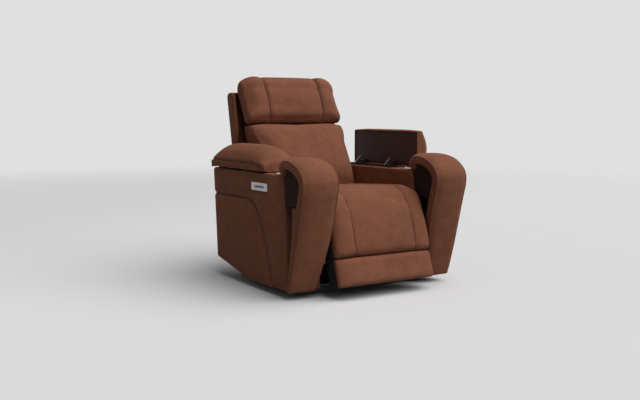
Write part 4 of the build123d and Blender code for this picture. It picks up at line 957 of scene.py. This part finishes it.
def sew_lid():
    """The pillow of the shut left lid, and a dark cord of painted shade in the groove of its fold."""
    pillow = cushion("left_lid_pillow", ["left_lid_pad"], voxel=0.005, rounds=4, cap=0.007, shape=box_lid)
    drop_skirt(pillow)
    subdivide(pillow)
    groove(pillow, LID_FOLD, YZ, (-1, 0, 0), depth=0.006, width=0.006, pucker=0.1)
    rays = [((-LID_MIDDLE, y, z), (-1, 0, 0)) for y, z in LID_FOLD[1:5]]
    return pillow, seam_shade_line("left_lid_seam", surface(pillow), rays)


def mirrored(name, piece):
    """A piece of the left lid, mirrored to the right and turned open about the hinge there."""
    hinge_x, _, hinge_z = hinges["right_lid_close"]
    mesh = piece.data.copy()
    mesh.name = name
    mesh.flip_normals()
    twin = new_piece(name, mesh)
    places = points(twin)
    across, up = -places[:, 0] - hinge_x, places[:, 2] - hinge_z
    places[:, 0] = hinge_x + up
    places[:, 2] = hinge_z - across
    set_points(twin, places)
    return twin


for name, side in SIDES:
    dress_arm(name, side)
    dress_neck(name, side)
    dress_wing(name, side)
    if name == "left":
        pillow, fold = sew_lid()
    else:
        pillow = mirrored("right_lid_pillow", pillow)
        # The mirrored cord in the lid's fold is painted shade as well
        fold = mirrored("right_lid_seam", fold)
    upholster(pillow, f"{name}_lid", [f"{name}_lid_pad"])
    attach(fold, f"{name}_lid")

# Black dust cloth, laid flat under the base frame. It is partly painted shadow: a dark sheet near the floor that
# darkens the band under the chair.
DUST_WIDTH, DUST_FRONT, DUST_REAR, DUST_Z = 0.752, -0.314, 0.294, 0.0034
work = bmesh.new()
bmesh.ops.create_grid(work, x_segments=40, y_segments=32, size=0.5)
for vert in work.verts:
    vert.co.x *= DUST_WIDTH
    vert.co.y = DUST_FRONT + (vert.co.y + 0.5) * (DUST_REAR - DUST_FRONT)
    vert.co.z = DUST_Z
dust_cloth = mesh_piece("dust_cloth", work)
dust_cloth.data.materials.append(BLACK_CLOTH)
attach(dust_cloth, "base")


# Stage: floor, light and camera
BACKGROUND = srgb(224, 224, 224)
FLOOR_LIGHT, FLOOR_PAINTED_SHADE, FLOOR_BOUNCE = srgb(229, 229, 229), srgb(216, 216, 216), srgb(140, 140, 140)
FLOOR_RADIUS = 13.0
FADE_START, FADE_END = 6.0, 10.5
# Painted shade on the floor: darker towards the left rear
PAINTED_SHADE_DIRECTION, PAINTED_SHADE_START, PAINTED_SHADE_END = (-0.2915, 0.477, 0), 0.3, 2.0
AMBIENT = 0.14
KEY_STRENGTH, KEY_SPREAD, KEY_AIM = 2.9, 75, (-0.42, 0.55, -1.0)
CAMERA_PLACE, CAMERA_DIP, CAMERA_TURN = (-2.4476, -3.8247, 0.8915), 5.92, -32
SENSOR_MM, LENS_MM = 36.0, 47.78


def seen_rays(tree):
    """1 on rays by which the background is seen, and 0 on those by which it lights the object."""
    rays = tree.nodes.new("ShaderNodeLightPath").outputs
    seen = rays["Is Camera Ray"]
    for kind in ("Is Glossy Ray", "Is Transmission Ray"):
        either = tree.nodes.new("ShaderNodeMath")
        either.operation = "MAXIMUM"
        tree.links.new(seen, either.inputs[0])
        tree.links.new(rays[kind], either.inputs[1])
        seen = either.outputs[0]
    return seen


def studio_paper():
    """Pale paper with painted shade that darkens it towards the left rear, and that fades out towards its edge."""
    paper = Shader("studio_paper")
    aside = paper.add("ShaderNodeVectorMath", Vector=paper.coordinates)
    aside.operation = "DOT_PRODUCT"
    aside.inputs[1].default_value = PAINTED_SHADE_DIRECTION
    # Painted shade: the seen floor colour darkens along the left-rear direction
    painted_shade = paper.smooth_step(aside.outputs["Value"], PAINTED_SHADE_START, PAINTED_SHADE_END)
    seen_colour = paper.mix(painted_shade, FLOOR_LIGHT, FLOOR_PAINTED_SHADE)
    colour = paper.mix(seen_rays(paper.tree), FLOOR_BOUNCE, seen_colour)
    paper.finish(Base_Color=colour, Roughness=0.95, Specular_IOR_Level=0.1)
    reach = paper.add("ShaderNodeVectorMath", Vector=paper.coordinates)
    reach.operation = "LENGTH"
    fade = paper.smooth_step(reach.outputs["Value"], FADE_START, FADE_END)
    clear = paper.add("ShaderNodeBsdfTransparent")
    both = paper.add("ShaderNodeMixShader", Fac=fade)
    links = paper.tree.links
    links.new(paper.main.outputs["BSDF"], both.inputs[1])
    links.new(clear.outputs["BSDF"], both.inputs[2])
    links.new(both.outputs["Shader"], paper.tree.nodes["Material Output"].inputs["Surface"])
    return paper.material


work = bmesh.new()
bmesh.ops.create_circle(work, cap_ends=True, segments=96, radius=FLOOR_RADIUS)
floor = mesh_piece("studio_floor", work)
floor.data.materials.append(studio_paper())

world = bpy.data.worlds.new("studio")
scene.world = world
world.use_nodes = True
sky = world.node_tree
ambient = sky.nodes["Background"]
ambient.inputs["Color"].default_value = (1, 1, 1, 1)
ambient.inputs["Strength"].default_value = AMBIENT
backdrop = sky.nodes.new("ShaderNodeBackground")
backdrop.inputs["Color"].default_value = BACKGROUND
sky_mix = sky.nodes.new("ShaderNodeMixShader")
sky.links.new(seen_rays(sky), sky_mix.inputs[0])
sky.links.new(ambient.outputs[0], sky_mix.inputs[1])
sky.links.new(backdrop.outputs[0], sky_mix.inputs[2])
sky.links.new(sky_mix.outputs[0], sky.nodes["World Output"].inputs["Surface"])

key = bpy.data.lights.new("key", "SUN")
key.energy = KEY_STRENGTH
key.angle = math.radians(KEY_SPREAD)
key_lamp = new_piece("key", key)
key_lamp.rotation_euler = Vector(KEY_AIM).to_track_quat("-Z", "Y").to_euler()

camera_data = bpy.data.cameras.new("camera")
camera_data.sensor_width = SENSOR_MM
camera_data.lens = LENS_MM
camera = new_piece("camera", camera_data)
camera.location = CAMERA_PLACE
camera.rotation_euler = (math.radians(90 - CAMERA_DIP), 0, math.radians(CAMERA_TURN))
scene.camera = camera
scene.view_settings.view_transform = "Standard"
